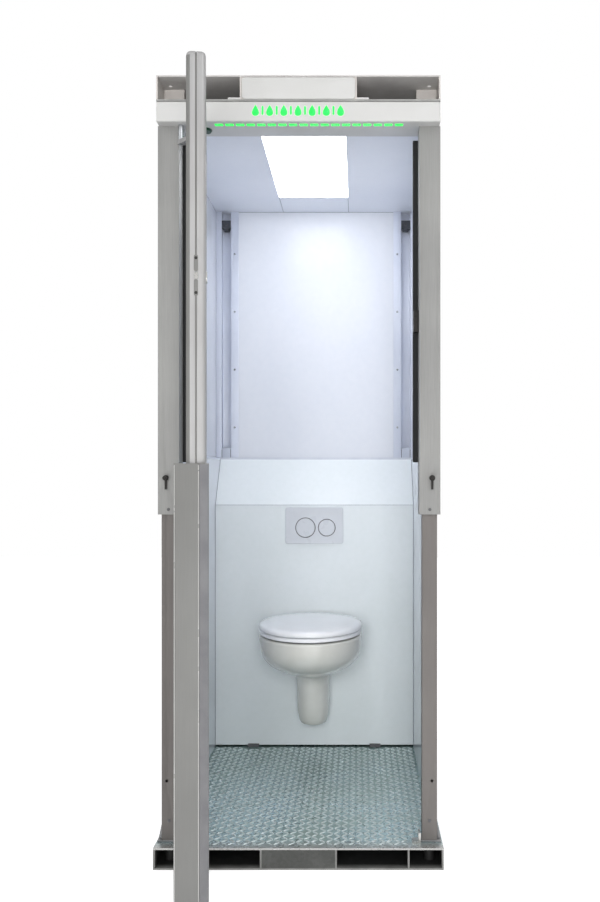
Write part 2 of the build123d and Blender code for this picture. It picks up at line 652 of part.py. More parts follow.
def build_pipes():
    """Flush pipe, drain, waste pump and the connections through the rear wall."""
    flush_y = TANK_FRONT + FLUSH_PIPE_BEND
    flush_start = PANEL_FRONT - FLUSH_PIPE_REACH
    flush_run = [(0, flush_start, FLUSH_Z), (0, flush_y, FLUSH_Z), (0, flush_y, TANK_BOTTOM)]
    node("flush_pipe", bent_tube(flush_run, FLUSH_PIPE_RADIUS, FLUSH_PIPE_WALL, FLUSH_PIPE_BEND))

    drain_y = PANEL_REAR + DRAIN_LEAD + DRAIN_BEND
    pump_top = BASE_HEIGHT + PUMP_HEIGHT
    drain_run = [(0, PANEL_FRONT - DRAIN_REACH, DRAIN_Z), (0, drain_y, DRAIN_Z), (0, drain_y, pump_top)]
    drain = bent_tube(drain_run, DRAIN_RADIUS, DRAIN_WALL, DRAIN_BEND)
    outlet_start = (0, PUMP_REAR, SERVICE_Z)
    outlet_end = (0, SERVICE_END, SERVICE_Z)
    outlet = tube(outlet_start, outlet_end, OUTLET_RADIUS, OUTLET_WALL)
    node("drain_pipes", drain, collared(outlet, 0, OUTLET_RADIUS, OUTLET_WALL))

    pump_box = (around(0, PUMP_WIDTH / 2), (PUMP_FRONT, PUMP_REAR), (BASE_HEIGHT, pump_top))
    collar_top = pump_top + PUMP_COLLAR_HEIGHT
    socket = DRAIN_RADIUS + SOCKET_GAP
    pump = block(*pump_box)
    pump -= block(*[(low + PUMP_WALL, high - PUMP_WALL) for low, high in pump_box])
    pump -= rod((0, drain_y, pump_top - PUMP_WALL), (0, drain_y, pump_top), DRAIN_RADIUS - DRAIN_WALL)
    pump += tube((0, drain_y, pump_top), (0, drain_y, collar_top), socket + PUMP_COLLAR_WALL, PUMP_COLLAR_WALL)
    pump -= rod((0, PUMP_REAR - PUMP_WALL, SERVICE_Z), outlet_start, OUTLET_RADIUS - OUTLET_WALL)
    node("waste_pump", pump)

    inlet_y = TANK_FRONT + TANK_DEPTH / 2
    inlet_run = [
        (SERVICE_SPACING, SERVICE_END, SERVICE_Z),
        (SERVICE_SPACING, inlet_y, SERVICE_Z),
        (SERVICE_SPACING, inlet_y, TANK_BOTTOM),
    ]
    inlet = bent_tube(inlet_run, INLET_RADIUS, INLET_WALL, INLET_BEND)
    node("water_inlet", collared(inlet, SERVICE_SPACING, INLET_RADIUS, INLET_WALL))

    gland_start = (-SERVICE_SPACING, REAR_WALL_FRONT, SERVICE_Z)
    gland_face = (-SERVICE_SPACING, REAR_WALL_REAR, SERVICE_Z)
    gland_end = (-SERVICE_SPACING, REAR_WALL_REAR + GLAND_LENGTH, SERVICE_Z)
    gland = rod(gland_start, gland_face, GLAND_SPIGOT_RADIUS) + rod(gland_face, gland_end, GLAND_RADIUS)
    node("power_gland", gland - rod(gland_start, gland_end, GLAND_BORE_RADIUS))


def bowl_body():
    """Outer form of the bowl: a basin that narrows downwards, and the trap leg under it."""
    half = BOWL_WIDTH / 2
    trap_half = TRAP_TOP_WIDTH / 2
    trap_front = PANEL_FRONT - TRAP_FRONT
    basin_z = RIM_Z - BOWL_DEPTH
    tip_front = trap_front - BOWL_TIP_LEAD
    sections = []
    for rise, spread, reach in BOWL_LEVELS:
        width = trap_half + (half - trap_half) * spread
        front = tip_front + (BOWL_FRONT - tip_front) * reach
        middle = front + BOWL_NOSE * (1 + reach) / 2
        sections.append((basin_z + BOWL_DEPTH * rise, d_outline(width, front, middle, PANEL_FRONT)))
    basin = stacked(*sections)
    trap_bottom = RIM_Z - TRAP_DROP
    trap_end = TRAP_BOTTOM_WIDTH / 2
    trap_nose = trap_front + trap_half
    trap = stacked(
        (trap_bottom, d_outline(trap_end, trap_nose - trap_end / 2, trap_nose + trap_end / 2, PANEL_FRONT)),
        (basin_z + TRAP_OVERLAP, d_outline(trap_half, trap_front - TRAP_OVERLAP, trap_nose, PANEL_FRONT)),
    )
    trap = fillet(trap.faces().sort_by(Axis.Z)[0].edges(), TRAP_FOOT_RADIUS)
    return basin + trap


def build_bowl():
    """Wall-hung bowl with its basin, flush inlet, trapway and stud holes, and the seat hinge posts."""
    basin_half = BOWL_WIDTH / 2 - BOWL_RIM
    basin_front = BOWL_FRONT + BOWL_RIM
    basin_back = BOWL_MIDDLE + BASIN_REAR
    basin_low = RIM_Z - BOWL_DEPTH + BASIN_FLOOR
    drop = RIM_Z - basin_low
    hollow = stacked(
        *[
            (
                basin_low + drop * rise,
                egg_outline(
                    basin_half * spread,
                    BOWL_MIDDLE - (BOWL_MIDDLE - basin_front) * spread,
                    BOWL_MIDDLE,
                    BOWL_MIDDLE + (basin_back - BOWL_MIDDLE) * spread,
                ),
            )
            for rise, spread in BASIN_LEVELS
        ]
    )
    bowl = bowl_body() - hollow
    inlet_end = (0, basin_back - FLUSH_PIPE_BEND, FLUSH_Z)
    bowl -= rod((0, PANEL_FRONT, FLUSH_Z), inlet_end, FLUSH_PIPE_RADIUS + SOCKET_GAP)
    trapway = DRAIN_RADIUS - DRAIN_WALL
    bowl -= rod((0, PANEL_FRONT, DRAIN_Z), (0, PANEL_FRONT - DRAIN_REACH, DRAIN_Z), DRAIN_RADIUS + SOCKET_GAP)
    bowl -= rod((0, PANEL_FRONT, DRAIN_Z), (0, basin_back, DRAIN_Z), trapway)
    sump = (0, basin_back - SUMP_LEAD, basin_low + SUMP_RISE)
    bowl -= rod(sump, (0, basin_back + SUMP_OVERLAP, DRAIN_Z), SUMP_RADIUS)
    stud_x = STUD_SPACING / 2
    stud_tip = PANEL_FRONT - STUD_REACH - PIPE_HOLE_SLACK
    for x in (-stud_x, stud_x):
        bowl -= rod((x, PANEL_FRONT, STUD_Z), (x, stud_tip, STUD_Z), STUD_RADIUS + SOCKET_GAP)
    node("toilet_bowl", bowl)

    post_x = HINGE_SPACING / 2
    half_depth = HINGE_POST_DEPTH / 2
    pin_half = HINGE_POST_WIDTH / 2 + HINGE_SIDE_GAP + HINGE_LUG_WIDTH
    post = block(around(post_x, HINGE_POST_WIDTH / 2), around(HINGE_Y, half_depth), (RIM_Z, HINGE_Z + half_depth))
    pin = rod((post_x - pin_half, HINGE_Y, HINGE_Z), (post_x + pin_half, HINGE_Y, HINGE_Z), HINGE_PIN_RADIUS)
    node("seat_hinge_pins", *twins(post + pin))


def hinge_lugs(side, tail_y, tail_z):
    """Two eyes on the hinge pins, on the outer (1) or inner (-1) side of the posts, with tails to a leaf."""
    near = HINGE_SPACING / 2 + side * (HINGE_POST_WIDTH / 2 + HINGE_SIDE_GAP)
    far = near + side * HINGE_LUG_WIDTH
    lug = rod((near, HINGE_Y, HINGE_Z), (far, HINGE_Y, HINGE_Z), HINGE_LUG_RADIUS)
    lug += block((min(near, far), max(near, far)), (tail_y, HINGE_Y), tail_z)
    bore = rod((near, HINGE_Y, HINGE_Z), (far, HINGE_Y, HINGE_Z), HINGE_PIN_RADIUS + SHAFT_GAP)
    return twins(lug - bore)


def build_seat():
    """Ring seat and crowned lid that turn on the same pins."""
    half = BOWL_WIDTH / 2 - SEAT_INSET
    front = BOWL_FRONT + SEAT_INSET
    tail = HINGE_Y - SEAT_TAIL
    seat_top = SEAT_Z + SEAT_THICKNESS
    hole_back = BOWL_MIDDLE + BASIN_REAR
    ring = egg_outline(half, front, BOWL_MIDDLE, tail)
    ring -= egg_outline(half - SEAT_RIM, front + SEAT_RIM, BOWL_MIDDLE, hole_back)
    seat = extrude(Pos(0, 0, SEAT_Z) * ring, SEAT_THICKNESS)
    seat = fillet(seat.faces().sort_by(Axis.Z)[-1].edges(), SEAT_EDGE_RADIUS)
    lug_top = seat_top - SEAT_EDGE_RADIUS
    for lug in hinge_lugs(1, tail - SEAT_LUG_TAIL, (lug_top - SEAT_LUG, lug_top)):
        seat += lug
    node("toilet_seat", seat)

    lid_half = BOWL_WIDTH / 2 + LID_OVERHANG
    lid_front = BOWL_FRONT - LID_OVERHANG
    lid_tail = HINGE_Y - LID_TAIL
    sections = []
    for rise, inset in LID_LEVELS:
        shrink = LID_CROWN_INSET * inset
        outline = egg_outline(lid_half - shrink, lid_front + shrink, BOWL_MIDDLE, lid_tail - shrink)
        sections.append((LID_Z + LID_THICKNESS * rise, outline))
    lid = stacked(*sections)
    for lug in hinge_lugs(-1, lid_tail - LID_LUG_TAIL, (LID_Z, LID_Z + LID_LUG)):
        lid += lug
    node("toilet_lid", lid)


def build_flush_plate():
    """Flush plate on the panel with two round buttons."""
    plate_y = (PANEL_FRONT - PLATE_THICKNESS, PANEL_FRONT)
    plate = block(around(0, PLATE_WIDTH / 2), plate_y, around(PLATE_CENTRE, PLATE_HEIGHT / 2))
    plate = fillet(plate.edges().filter_by(Axis.Y), PLATE_CORNER)
    plate = chamfer(plate.faces().sort_by(Axis.Y)[0].edges(), BUTTON_PROUD)
    buttons = (
        ("full_flush_button", FULL_BUTTON_X, FULL_BUTTON_RADIUS),
        ("half_flush_button", HALF_BUTTON_X, HALF_BUTTON_RADIUS),
    )
    for name, x, radius in buttons:
        plate -= rod((x, plate_y[0], BUTTON_HEIGHT), (x, plate_y[1], BUTTON_HEIGHT), radius + BUTTON_GAP)
        face = plate_y[0] - BUTTON_PROUD
        button = rod((x, face, BUTTON_HEIGHT), (x, face + BUTTON_DEPTH, BUTTON_HEIGHT), radius)
        node(name, fillet(button.faces().sort_by(Axis.Y)[0].edges(), BUTTON_PROUD))
    node("flush_plate", plate)


def build_upper_posts():
    """Front sleeves open to the rear for the standing walls, rear hat sections and their slide pads."""
    rise = (UPPER_BOTTOM, HEADER_BOTTOM)
    slot_x = (WALL_INNER - WALL_SLOT_SLACK, WALL_OUTER + WALL_SLOT_SLACK)
    sleeve = block((SLEEVE_INNER, SLEEVE_OUTER), (SLEEVE_FRONT, SLEEVE_REAR), rise)
    sleeve -= block(around(POST_X, CAVITY_X), around(POST_Y, CAVITY_Y), rise)
    sleeve -= block(slot_x, (POST_Y, SLEEVE_REAR), rise)
    sleeve -= rod(
        (LOCK_PIN_X, SLEEVE_FRONT, LOCK_PIN_HEIGHT),
        (LOCK_PIN_X, POST_Y, LOCK_PIN_HEIGHT),
        LOCK_PIN_RADIUS + LOCK_PIN_GAP,
    )
    node("front_upper_posts", *twins(sleeve))

    lip_rear = HAT_FRONT + HAT_SHEET
    corners = [
        (CHANNEL_IN - HAT_FLANGE, HAT_FRONT),
        (CHANNEL_IN, HAT_FRONT),
        (CHANNEL_IN, CHANNEL_BACK),
        (CHANNEL_OUT, CHANNEL_BACK),
        (CHANNEL_OUT, HAT_FRONT),
        (UPPER_WALL_INNER, HAT_FRONT),
        (UPPER_WALL_INNER, lip_rear),
        (CHANNEL_OUT + HAT_SHEET, lip_rear),
        (CHANNEL_OUT + HAT_SHEET, HAT_REAR),
        (CHANNEL_IN - HAT_SHEET, HAT_REAR),
        (CHANNEL_IN - HAT_SHEET, lip_rear),
        (CHANNEL_IN - HAT_FLANGE, lip_rear),
    ]
    hat = prism(corners, Plane.XY.offset(UPPER_BOTTOM), CEILING_BOTTOM - UPPER_BOTTOM)
    node("rear_upper_posts", *twins(hat))

    screw_x = CHANNEL_IN - HAT_FLANGE / 2
    screws = []
    for step in range(SCREW_COUNT):
        z = UPPER_BOTTOM + FIRST_SCREW + SCREW_PITCH * step
        screws.append(rod((screw_x, HAT_FRONT, z), (screw_x, HAT_FRONT - SCREW_HEAD_HEIGHT, z), SCREW_HEAD_RADIUS))
    node("flange_screws", *twins(*screws))

    pad = (UPPER_BOTTOM + PAD_INSET, UPPER_BOTTOM + PAD_INSET + PAD_LENGTH)
    post_half = LOWER_POST / 2 + PAD_GAP
    ring = block(around(POST_X, CAVITY_X), around(POST_Y, CAVITY_Y), pad)
    ring -= block(around(POST_X, post_half), around(POST_Y, post_half), pad)
    ring -= block(slot_x, (POST_Y, SLEEVE_REAR), pad)
    lining = block((CHANNEL_IN, CHANNEL_OUT), (HAT_FRONT + HAT_SHEET, CHANNEL_BACK), pad)
    lining -= block(around(REAR_POST_X, REAR_POST / 2 + PAD_GAP), (HAT_FRONT, REAR_POST_REAR + PAD_GAP), pad)
    node("upper_slide_pads", *twins(ring, lining))

    bracket_low = BUFFER_BOTTOM + BUFFER_HEIGHT
    bracket_front = HAT_FRONT + HAT_SHEET + CHANNEL_SLACK
    bracket_z = (bracket_low, bracket_low + BUFFER_BRACKET)
    buffer_y = (REAR_POST_FRONT + REAR_POST_REAR) / 2
    bolt_z = sum(bracket_z) / 2
    buffer = block((CHANNEL_IN, CHANNEL_OUT), (bracket_front, CHANNEL_BACK), bracket_z)
    buffer += rod((REAR_POST_X, buffer_y, BUFFER_BOTTOM), (REAR_POST_X, buffer_y, bracket_low), BUFFER_RADIUS)
    bolt_tip = (REAR_POST_X, bracket_front - BUFFER_BOLT_HEAD, bolt_z)
    buffer += rod(bolt_tip, (REAR_POST_X, bracket_front, bolt_z), BUFFER_BOLT_RADIUS)
    node("landing_buffers", *twins(buffer))


def build_upper_walls():
    """Side walls notched under the header, and the rear wall between the hat flanges."""
    outline = [
        (SLEEVE_REAR, UPPER_BOTTOM),
        (HAT_REAR, UPPER_BOTTOM),
        (HAT_REAR, DECK_BOTTOM),
        (HEADER_REAR, DECK_BOTTOM),
        (HEADER_REAR, HEADER_BOTTOM),
        (SLEEVE_REAR, HEADER_BOTTOM),
    ]
    side = prism(outline, Plane.YZ.offset(UPPER_WALL_INNER), UPPER_WALL)
    rear_front = HAT_FRONT + HAT_SHEET
    rear_half = CHANNEL_IN - HAT_SHEET
    rear = block((-rear_half, rear_half), (rear_front, rear_front + UPPER_WALL), (UPPER_BOTTOM, CEILING_BOTTOM))
    node("upper_walls", rear, *twins(side))


def build_header():
    """Hollow beam over the doorway with end caps, a row of lights, a sensor and the top door pivot."""
    beam_y = (HEADER_FRONT, HEADER_REAR)
    beam_z = (HEADER_BOTTOM, DECK_BOTTOM)
    inner = ROOF_HALF - HEADER_WALL
    hollow_y = (HEADER_FRONT + HEADER_WALL, HEADER_REAR - HEADER_WALL)
    hollow_z = (HEADER_BOTTOM + HEADER_WALL, DECK_BOTTOM - HEADER_WALL)
    beam = block((-inner, inner), beam_y, beam_z) - block((-inner, inner), hollow_y, hollow_z)
    cap = block((inner, ROOF_HALF), beam_y, beam_z)
    node("header_beam", beam, *twins(cap))

    dash_y = around(HEADER_FRONT + DASH_ROW_SETBACK, DASH_WIDTH / 2)
    dash_z = (HEADER_BOTTOM - DASH_HEIGHT, HEADER_BOTTOM)
    first = DASH_ROW_SHIFT - DASH_PITCH * (DASH_COUNT - 1) / 2
    dashes = []
    for step in range(DASH_COUNT):
        dashes.append(block(around(first + DASH_PITCH * step, DASH_LENGTH / 2), dash_y, dash_z))
    node("header_light_dashes", *dashes)

    lens = extrude(Ellipse(SENSOR_WIDTH / 2, SENSOR_LENGTH / 2), SENSOR_HEIGHT)
    lens = fillet(lens.faces().sort_by(Axis.Z)[0].edges(), SENSOR_HEIGHT / 2)
    sensor_place = Pos(SENSOR_X, HEADER_FRONT + SENSOR_SETBACK, HEADER_BOTTOM - SENSOR_HEIGHT)
    node("presence_sensor", sensor_place * lens)

    arm_top = UPPER_TOP + TOP_ARM_THICKNESS
    shoulder = arm_top + THRUST_GAP
    pivot = rod((PIVOT_X, PIVOT_Y, UPPER_TOP), (PIVOT_X, PIVOT_Y, shoulder), TOP_PIN_RADIUS)
    pivot += rod((PIVOT_X, PIVOT_Y, shoulder), (PIVOT_X, PIVOT_Y, HEADER_BOTTOM), TOP_SHOULDER_RADIUS)
    node("top_pivot", pivot)


def build_ceiling():
    """Ceiling panels round a long flush light."""
    depth = (CEILING_BOTTOM, DECK_BOTTOM)
    half = LIGHT_WIDTH / 2
    light_y = (HEADER_REAR + LIGHT_START, HEADER_REAR + LIGHT_START + LIGHT_LENGTH)
    side = block((half + PANEL_SEAM, UPPER_WALL_INNER), (HEADER_REAR, HAT_REAR), depth)
    front = block((-half, half), (HEADER_REAR, light_y[0] - PANEL_SEAM), depth)
    rear = block((-half, half), (light_y[1] + PANEL_SEAM, HAT_REAR), depth)
    node("ceiling_panels", front, rear, *twins(side))
    node("ceiling_light", block((-half, half), light_y, depth))


def build_roof():
    """Roof pallet: a deck, webs and a top plate, with two fork pockets open at both ends."""
    half_depth = BASE_DEPTH / 2
    plate_low = ROOF_TOP - ROOF_PLATE
    cell = (DECK_TOP, plate_low)
    whole_x = (-ROOF_HALF, ROOF_HALF)
    whole_y = (-half_depth, half_depth)
    inner_web = ROOF_CENTRE / 2
    outer_web = inner_web + ROOF_PLATE + ROOF_POCKET
    stop_y = half_depth - ROOF_STOP_SETBACK
    web_y = (ROOF_PLATE - stop_y, stop_y - ROOF_PLATE)
    side_start = ROOF_HALF - ROOF_PLATE
    webs = [
        block((inner_web, inner_web + ROOF_PLATE), whole_y, cell),
        block((outer_web, outer_web + ROOF_PLATE), web_y, cell),
        block((side_start, ROOF_HALF), whole_y, cell),
    ]
    stop = block((outer_web, side_start), (-stop_y, ROOF_PLATE - stop_y), cell)
    top = block(whole_x, whole_y, (plate_low, ROOF_TOP))
    for x in (-POST_X, POST_X):
        for y in (-POST_Y, POST_Y):
            top -= rod((x, y, plate_low), (x, y, ROOF_TOP), ROOF_HOLE_RADIUS)
    cover_half = inner_web - ROOF_COVER_GAP
    cover_z = (DECK_TOP + ROOF_COVER_GAP, plate_low - ROOF_COVER_GAP)
    cover = block((-cover_half, cover_half), (-half_depth, ROOF_COVER - half_depth), cover_z)
    lug = block((-inner_web, inner_web), (ROOF_COVER - half_depth, 2 * ROOF_COVER - half_depth), cell)
    node("roof_deck", block(whole_x, whole_y, (DECK_BOTTOM, DECK_TOP)))
    node("roof_webs", *twins(*webs, *ends(stop)), *ends(lug))
    node("roof_top_plate", top)
    node("roof_centre_covers", *ends(cover))


def build_doorway():
    """Seals on the sleeves, the door lock keep, the floor keep and the bottom door pivot."""
    seal_z = (DOOR_SEAL_BOTTOM, DOOR_SEAL_TOP)
    lip_x = (SLEEVE_INNER - DOOR_SEAL_REACH, SLEEVE_INNER)
    seal = block(lip_x, (SLEEVE_REAR, SLEEVE_REAR + DOOR_SEAL_DEPTH), seal_z)
    leg_x = (SLEEVE_INNER, SLEEVE_INNER + DOOR_SEAL_LEG)
    seal += block(leg_x, (SLEEVE_REAR, SLEEVE_REAR + DOOR_SEAL_SHEET), seal_z)
    node("door_seals", *twins(seal))

    bolt_y = PIVOT_Y + UPPER_MIDDLE
    keep_x = (SLEEVE_INNER - KEEP_REACH, SLEEVE_INNER)
    keep = block(keep_x, around(bolt_y, KEEP_DEPTH / 2), around(LOCK_HEIGHT, KEEP_HEIGHT / 2))
    keep -= block(
        (keep_x[0], keep_x[1] - KEEP_FLOOR),
        around(bolt_y, BOLT_WIDTH / 2 + KEEP_SLACK),
        around(LOCK_HEIGHT, BOLT_HEIGHT / 2 + KEEP_SLACK),
    )
    node("lock_keep", keep)

    stop_y = (PIVOT_Y + FLOOR_KEEP_SETBACK, PIVOT_Y + FLOOR_KEEP_SETBACK + FLOOR_KEEP_LENGTH)
    stop_x = POST_X - LOWER_POST / 2 - FOOT_MARGIN - FLOOR_KEEP_WIDTH
    stop = block((stop_x, stop_x + FLOOR_KEEP_WIDTH), stop_y, (BASE_HEIGHT, BASE_HEIGHT + FLOOR_KEEP_HEIGHT))
    stop += block((stop_x - FLOOR_KEEP_TONGUE, stop_x), stop_y, (BASE_HEIGHT, BASE_HEIGHT + FLOOR_KEEP_PLATE))
    node("door_floor_keep", stop)

    arm_low = LEAF_BOTTOM - BOTTOM_ARM_THICKNESS
    plate_top = arm_low - THRUST_GAP
    plate_x = (PIVOT_X - PIVOT_PLATE_WIDTH / 2, PIVOT_X - PIVOT_PLATE_WIDTH / 2 + PIVOT_PLATE_LENGTH)
    plate_y = (PIVOT_Y - PIVOT_PLATE_WIDTH / 2, SLEEVE_FRONT)
    pivot = block(plate_x, plate_y, (BASE_HEIGHT, plate_top))
    pivot += rod((PIVOT_X, PIVOT_Y, plate_top), (PIVOT_X, PIVOT_Y, LEAF_BOTTOM), BOTTOM_PIN_RADIUS)
    node("bottom_pivot", pivot)


def hung(solid):
    """Turn a piece from the closed door's place, with the pivot at the origin, to the open door."""
    return Pos(PIVOT_X, PIVOT_Y, 0) * Rot(0, 0, -DOOR_OPEN_ANGLE) * solid


def pivot_arm(length, width_from, width_to, z, pin_radius):
    """Flat arm from an eye on the pivot to a plate along the leaf, between two depths."""
    eye = extrude(Pos(0, 0, z[0]) * Circle(ARM_EYE_RADIUS), z[1] - z[0])
    reach = [(0, -ARM_EYE_RADIUS), (length, width_from), (length, width_to), (UPPER_START, width_to)]
    side = (-ARM_EYE_RADIUS * sin(radians(45)), ARM_EYE_RADIUS * cos(radians(45)))
    arm = eye + prism(reach + [side], Plane.XY.offset(z[0]), z[1] - z[0])
    return arm - extrude(Pos(0, 0, z[0]) * Circle(pin_radius + SHAFT_GAP), z[1] - z[0])


def build_lower_leaf():
    """Lower door leaf: a pocket open at the top, with a nosed lock stile."""
    rise = (LEAF_BOTTOM, LEAF_TOP)
    height = LEAF_TOP - LEAF_BOTTOM
    nose_end = LEAF_FRONT + LEAF_NOSE
    flange_face = LEAF_END - LEAF_NOSE_STEP
    corners = [
        (POCKET_END, LEAF_FRONT),
        (LEAF_END, LEAF_FRONT),
        (LEAF_END, nose_end),
        (flange_face, nose_end),
        (flange_face, LEAF_REAR),
        (POCKET_END, LEAF_REAR),
    ]
    stile = prism(corners, Plane.XY.offset(LEAF_BOTTOM), height)
    front_edge = stile.edges().filter_by(Axis.Z).filter_by(lambda edge: edge.center().X > flange_face)
    stile = fillet(front_edge.sort_by(Axis.Y)[0], LEAF_NOSE_RADIUS)
    nose_edges = stile.edges().filter_by(Axis.Z).filter_by(lambda edge: edge.center().X > flange_face)
    stile = fillet(nose_edges.sort_by(Axis.Y)[-1], LEAF_BEAD_RADIUS)
    skin_in = LEAF_FRONT + LEAF_SKIN
    skin_out = LEAF_REAR - LEAF_SKIN
    frame = stile + block((LEAF_START, POCKET_START), (LEAF_FRONT, LEAF_REAR), rise)
    frame += block((POCKET_START, POCKET_END), (skin_in, skin_out), (LEAF_BOTTOM, LEAF_BOTTOM + LEAF_RAIL))
    outer = block((POCKET_START, POCKET_END), (LEAF_FRONT, skin_in), rise)
    inner = block((POCKET_START, POCKET_END), (skin_out, LEAF_REAR), rise)
    arm_z = (LEAF_BOTTOM - BOTTOM_ARM_THICKNESS, LEAF_BOTTOM)
    arm = pivot_arm(BOTTOM_ARM_LENGTH, skin_in, skin_out, arm_z, BOTTOM_PIN_RADIUS)
    node("door_lower_frame", hung(frame))
    node("door_lower_skins", hung(outer), hung(inner))
    node("door_lower_arm", hung(arm))


def upper_stile(start, end):
    """Hollow upright of the upper leaf with round edges and a groove down its middle."""
    depth = (UPPER_FRONT, UPPER_REAR)
    rise = (UPPER_LOW, UPPER_TOP)
    stile = block((start, end), depth, rise)
    outer = max(start, end) if start > LEAF_END / 2 else min(start, end)
    inward = -1 if start > LEAF_END / 2 else 1
    rounded = stile.edges().filter_by(Axis.Z).filter_by(lambda edge: abs(edge.center().X - outer) < 1)
    stile = fillet(rounded, UPPER_EDGE_RADIUS)
    groove_x = sorted((outer, outer + inward * GROOVE_DEPTH))
    stile -= block(groove_x, around(UPPER_MIDDLE, GROOVE_WIDTH / 2), rise)
    wall = UPPER_STILE_WALL + GROOVE_DEPTH
    inside_x = sorted((outer + inward * wall, outer + inward * (UPPER_STILE - UPPER_STILE_WALL)))
    inside_y = (UPPER_FRONT + wall, UPPER_REAR - wall)
    return stile - block(inside_x, inside_y, (UPPER_LOW, UPPER_TOP - UPPER_STILE_WALL))


def build_upper_leaf():
    """Upper door leaf: two grooved uprights, two rails and a panel, with the lock near its free edge."""
    inner = (UPPER_START + UPPER_STILE, UPPER_END - UPPER_STILE)
    depth = (UPPER_FRONT, UPPER_REAR)
    low_rail = (UPPER_LOW, UPPER_LOW + UPPER_STILE)
    top_rail = (UPPER_TOP - UPPER_STILE, UPPER_TOP)
    bolt_y = around(UPPER_MIDDLE, BOLT_WIDTH / 2)
    bolt_z = around(LOCK_HEIGHT, BOLT_HEIGHT / 2)
    lock_stile = upper_stile(inner[1], UPPER_END)
    lock_stile -= block(
        (TURN_ALONG, UPPER_END),
        (bolt_y[0] - BOLT_GAP, bolt_y[1] + BOLT_GAP),
        (bolt_z[0] - BOLT_GAP, bolt_z[1] + BOLT_GAP),
    )
    spindle_start = (TURN_ALONG, UPPER_REAR - TURN_SPINDLE_LENGTH, LOCK_HEIGHT)
    spindle_end = (TURN_ALONG, UPPER_REAR, LOCK_HEIGHT)
    lock_stile -= rod(spindle_start, spindle_end, TURN_SPINDLE_RADIUS + SHAFT_GAP)
    frame = lock_stile + upper_stile(UPPER_START, inner[0])
    frame += block(inner, depth, low_rail) + block(inner, depth, top_rail)
    panel = block(inner, around(UPPER_MIDDLE, UPPER_PANEL / 2), (low_rail[1], top_rail[0]))
    arm_z = (UPPER_TOP, UPPER_TOP + TOP_ARM_THICKNESS)
    arm = pivot_arm(TOP_ARM_LENGTH, UPPER_FRONT, UPPER_REAR, arm_z, TOP_PIN_RADIUS)
    node("door_upper_frame", hung(frame))
    node("door_upper_panel", hung(panel))
    node("door_upper_arm", hung(arm))

    bolt_tip = UPPER_END - GROOVE_DEPTH
    bolt = block((bolt_tip - BOLT_LENGTH, bolt_tip), bolt_y, bolt_z)
    turn_face = (TURN_ALONG, UPPER_REAR + TURN_THICKNESS, LOCK_HEIGHT)
    turn = rod(spindle_end, turn_face, TURN_RADIUS)
    recess_y = (turn_face[1] - TURN_RECESS, turn_face[1])
    grip = block(around(TURN_ALONG, TURN_GRIP / 2), recess_y, around(LOCK_HEIGHT, TURN_RADIUS))
    scoop = rod((TURN_ALONG, recess_y[0], LOCK_HEIGHT), turn_face, TURN_RADIUS - TURN_RECESS)
    turn = turn - (scoop - grip) + rod(spindle_start, spindle_end, TURN_SPINDLE_RADIUS)
    node("lock_bolt", hung(bolt))
    node("thumb_turn", hung(turn))


def build_lock_pins():
    """Quarter-turn levers and the pins that they push through the sleeves into the posts."""
    hub_front = SLEEVE_FRONT - LEVER_HUB_LENGTH
    centre = (LOCK_PIN_X, SLEEVE_FRONT, LOCK_PIN_HEIGHT)
    hub_end = (LOCK_PIN_X, hub_front, LOCK_PIN_HEIGHT)
    lever = rod(centre, hub_end, LEVER_HUB_RADIUS)
    arm_z = (LOCK_PIN_HEIGHT - LEVER_LENGTH, LOCK_PIN_HEIGHT)
    arm_y = around((SLEEVE_FRONT + hub_front) / 2, LEVER_THICKNESS / 2)
    lever += block(around(LOCK_PIN_X, LEVER_WIDTH / 2), arm_y, arm_z)
    lever -= rod(centre, hub_end, LOCK_PIN_RADIUS + LOCK_PIN_GAP)
    pin_tip = (LOCK_PIN_X, POST_Y - LOWER_POST / 2 - LOCK_PIN_CLEARANCE, LOCK_PIN_HEIGHT)
    knob_rear = hub_front - LOCK_PIN_THROW - LOCK_PIN_GAP
    knob_base = (LOCK_PIN_X, knob_rear, LOCK_PIN_HEIGHT)
    knob_face = (LOCK_PIN_X, knob_rear - LOCK_KNOB_LENGTH, LOCK_PIN_HEIGHT)
    pin = rod(knob_base, pin_tip, LOCK_PIN_RADIUS) + rod(knob_face, knob_base, LOCK_KNOB_RADIUS)
    for name, solid in (("lock_lever", lever), ("lock_pin", pin)):
        right, left = twins(solid)
        node(f"right_{name}", right)
        node(f"left_{name}", left)


build_base()
build_lower_posts()
build_lower_walls()
build_cistern_box()
build_cistern()
build_pipes()
build_bowl()
build_seat()
build_flush_plate()
build_upper_posts()
build_upper_walls()
build_header()
build_ceiling()
build_roof()
build_doorway()
build_lower_leaf()
build_upper_leaf()
build_lock_pins()
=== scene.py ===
import json
import logging
from dataclasses import dataclass
from enum import Enum
from math import cos, pi, radians, sin
from typing import Any

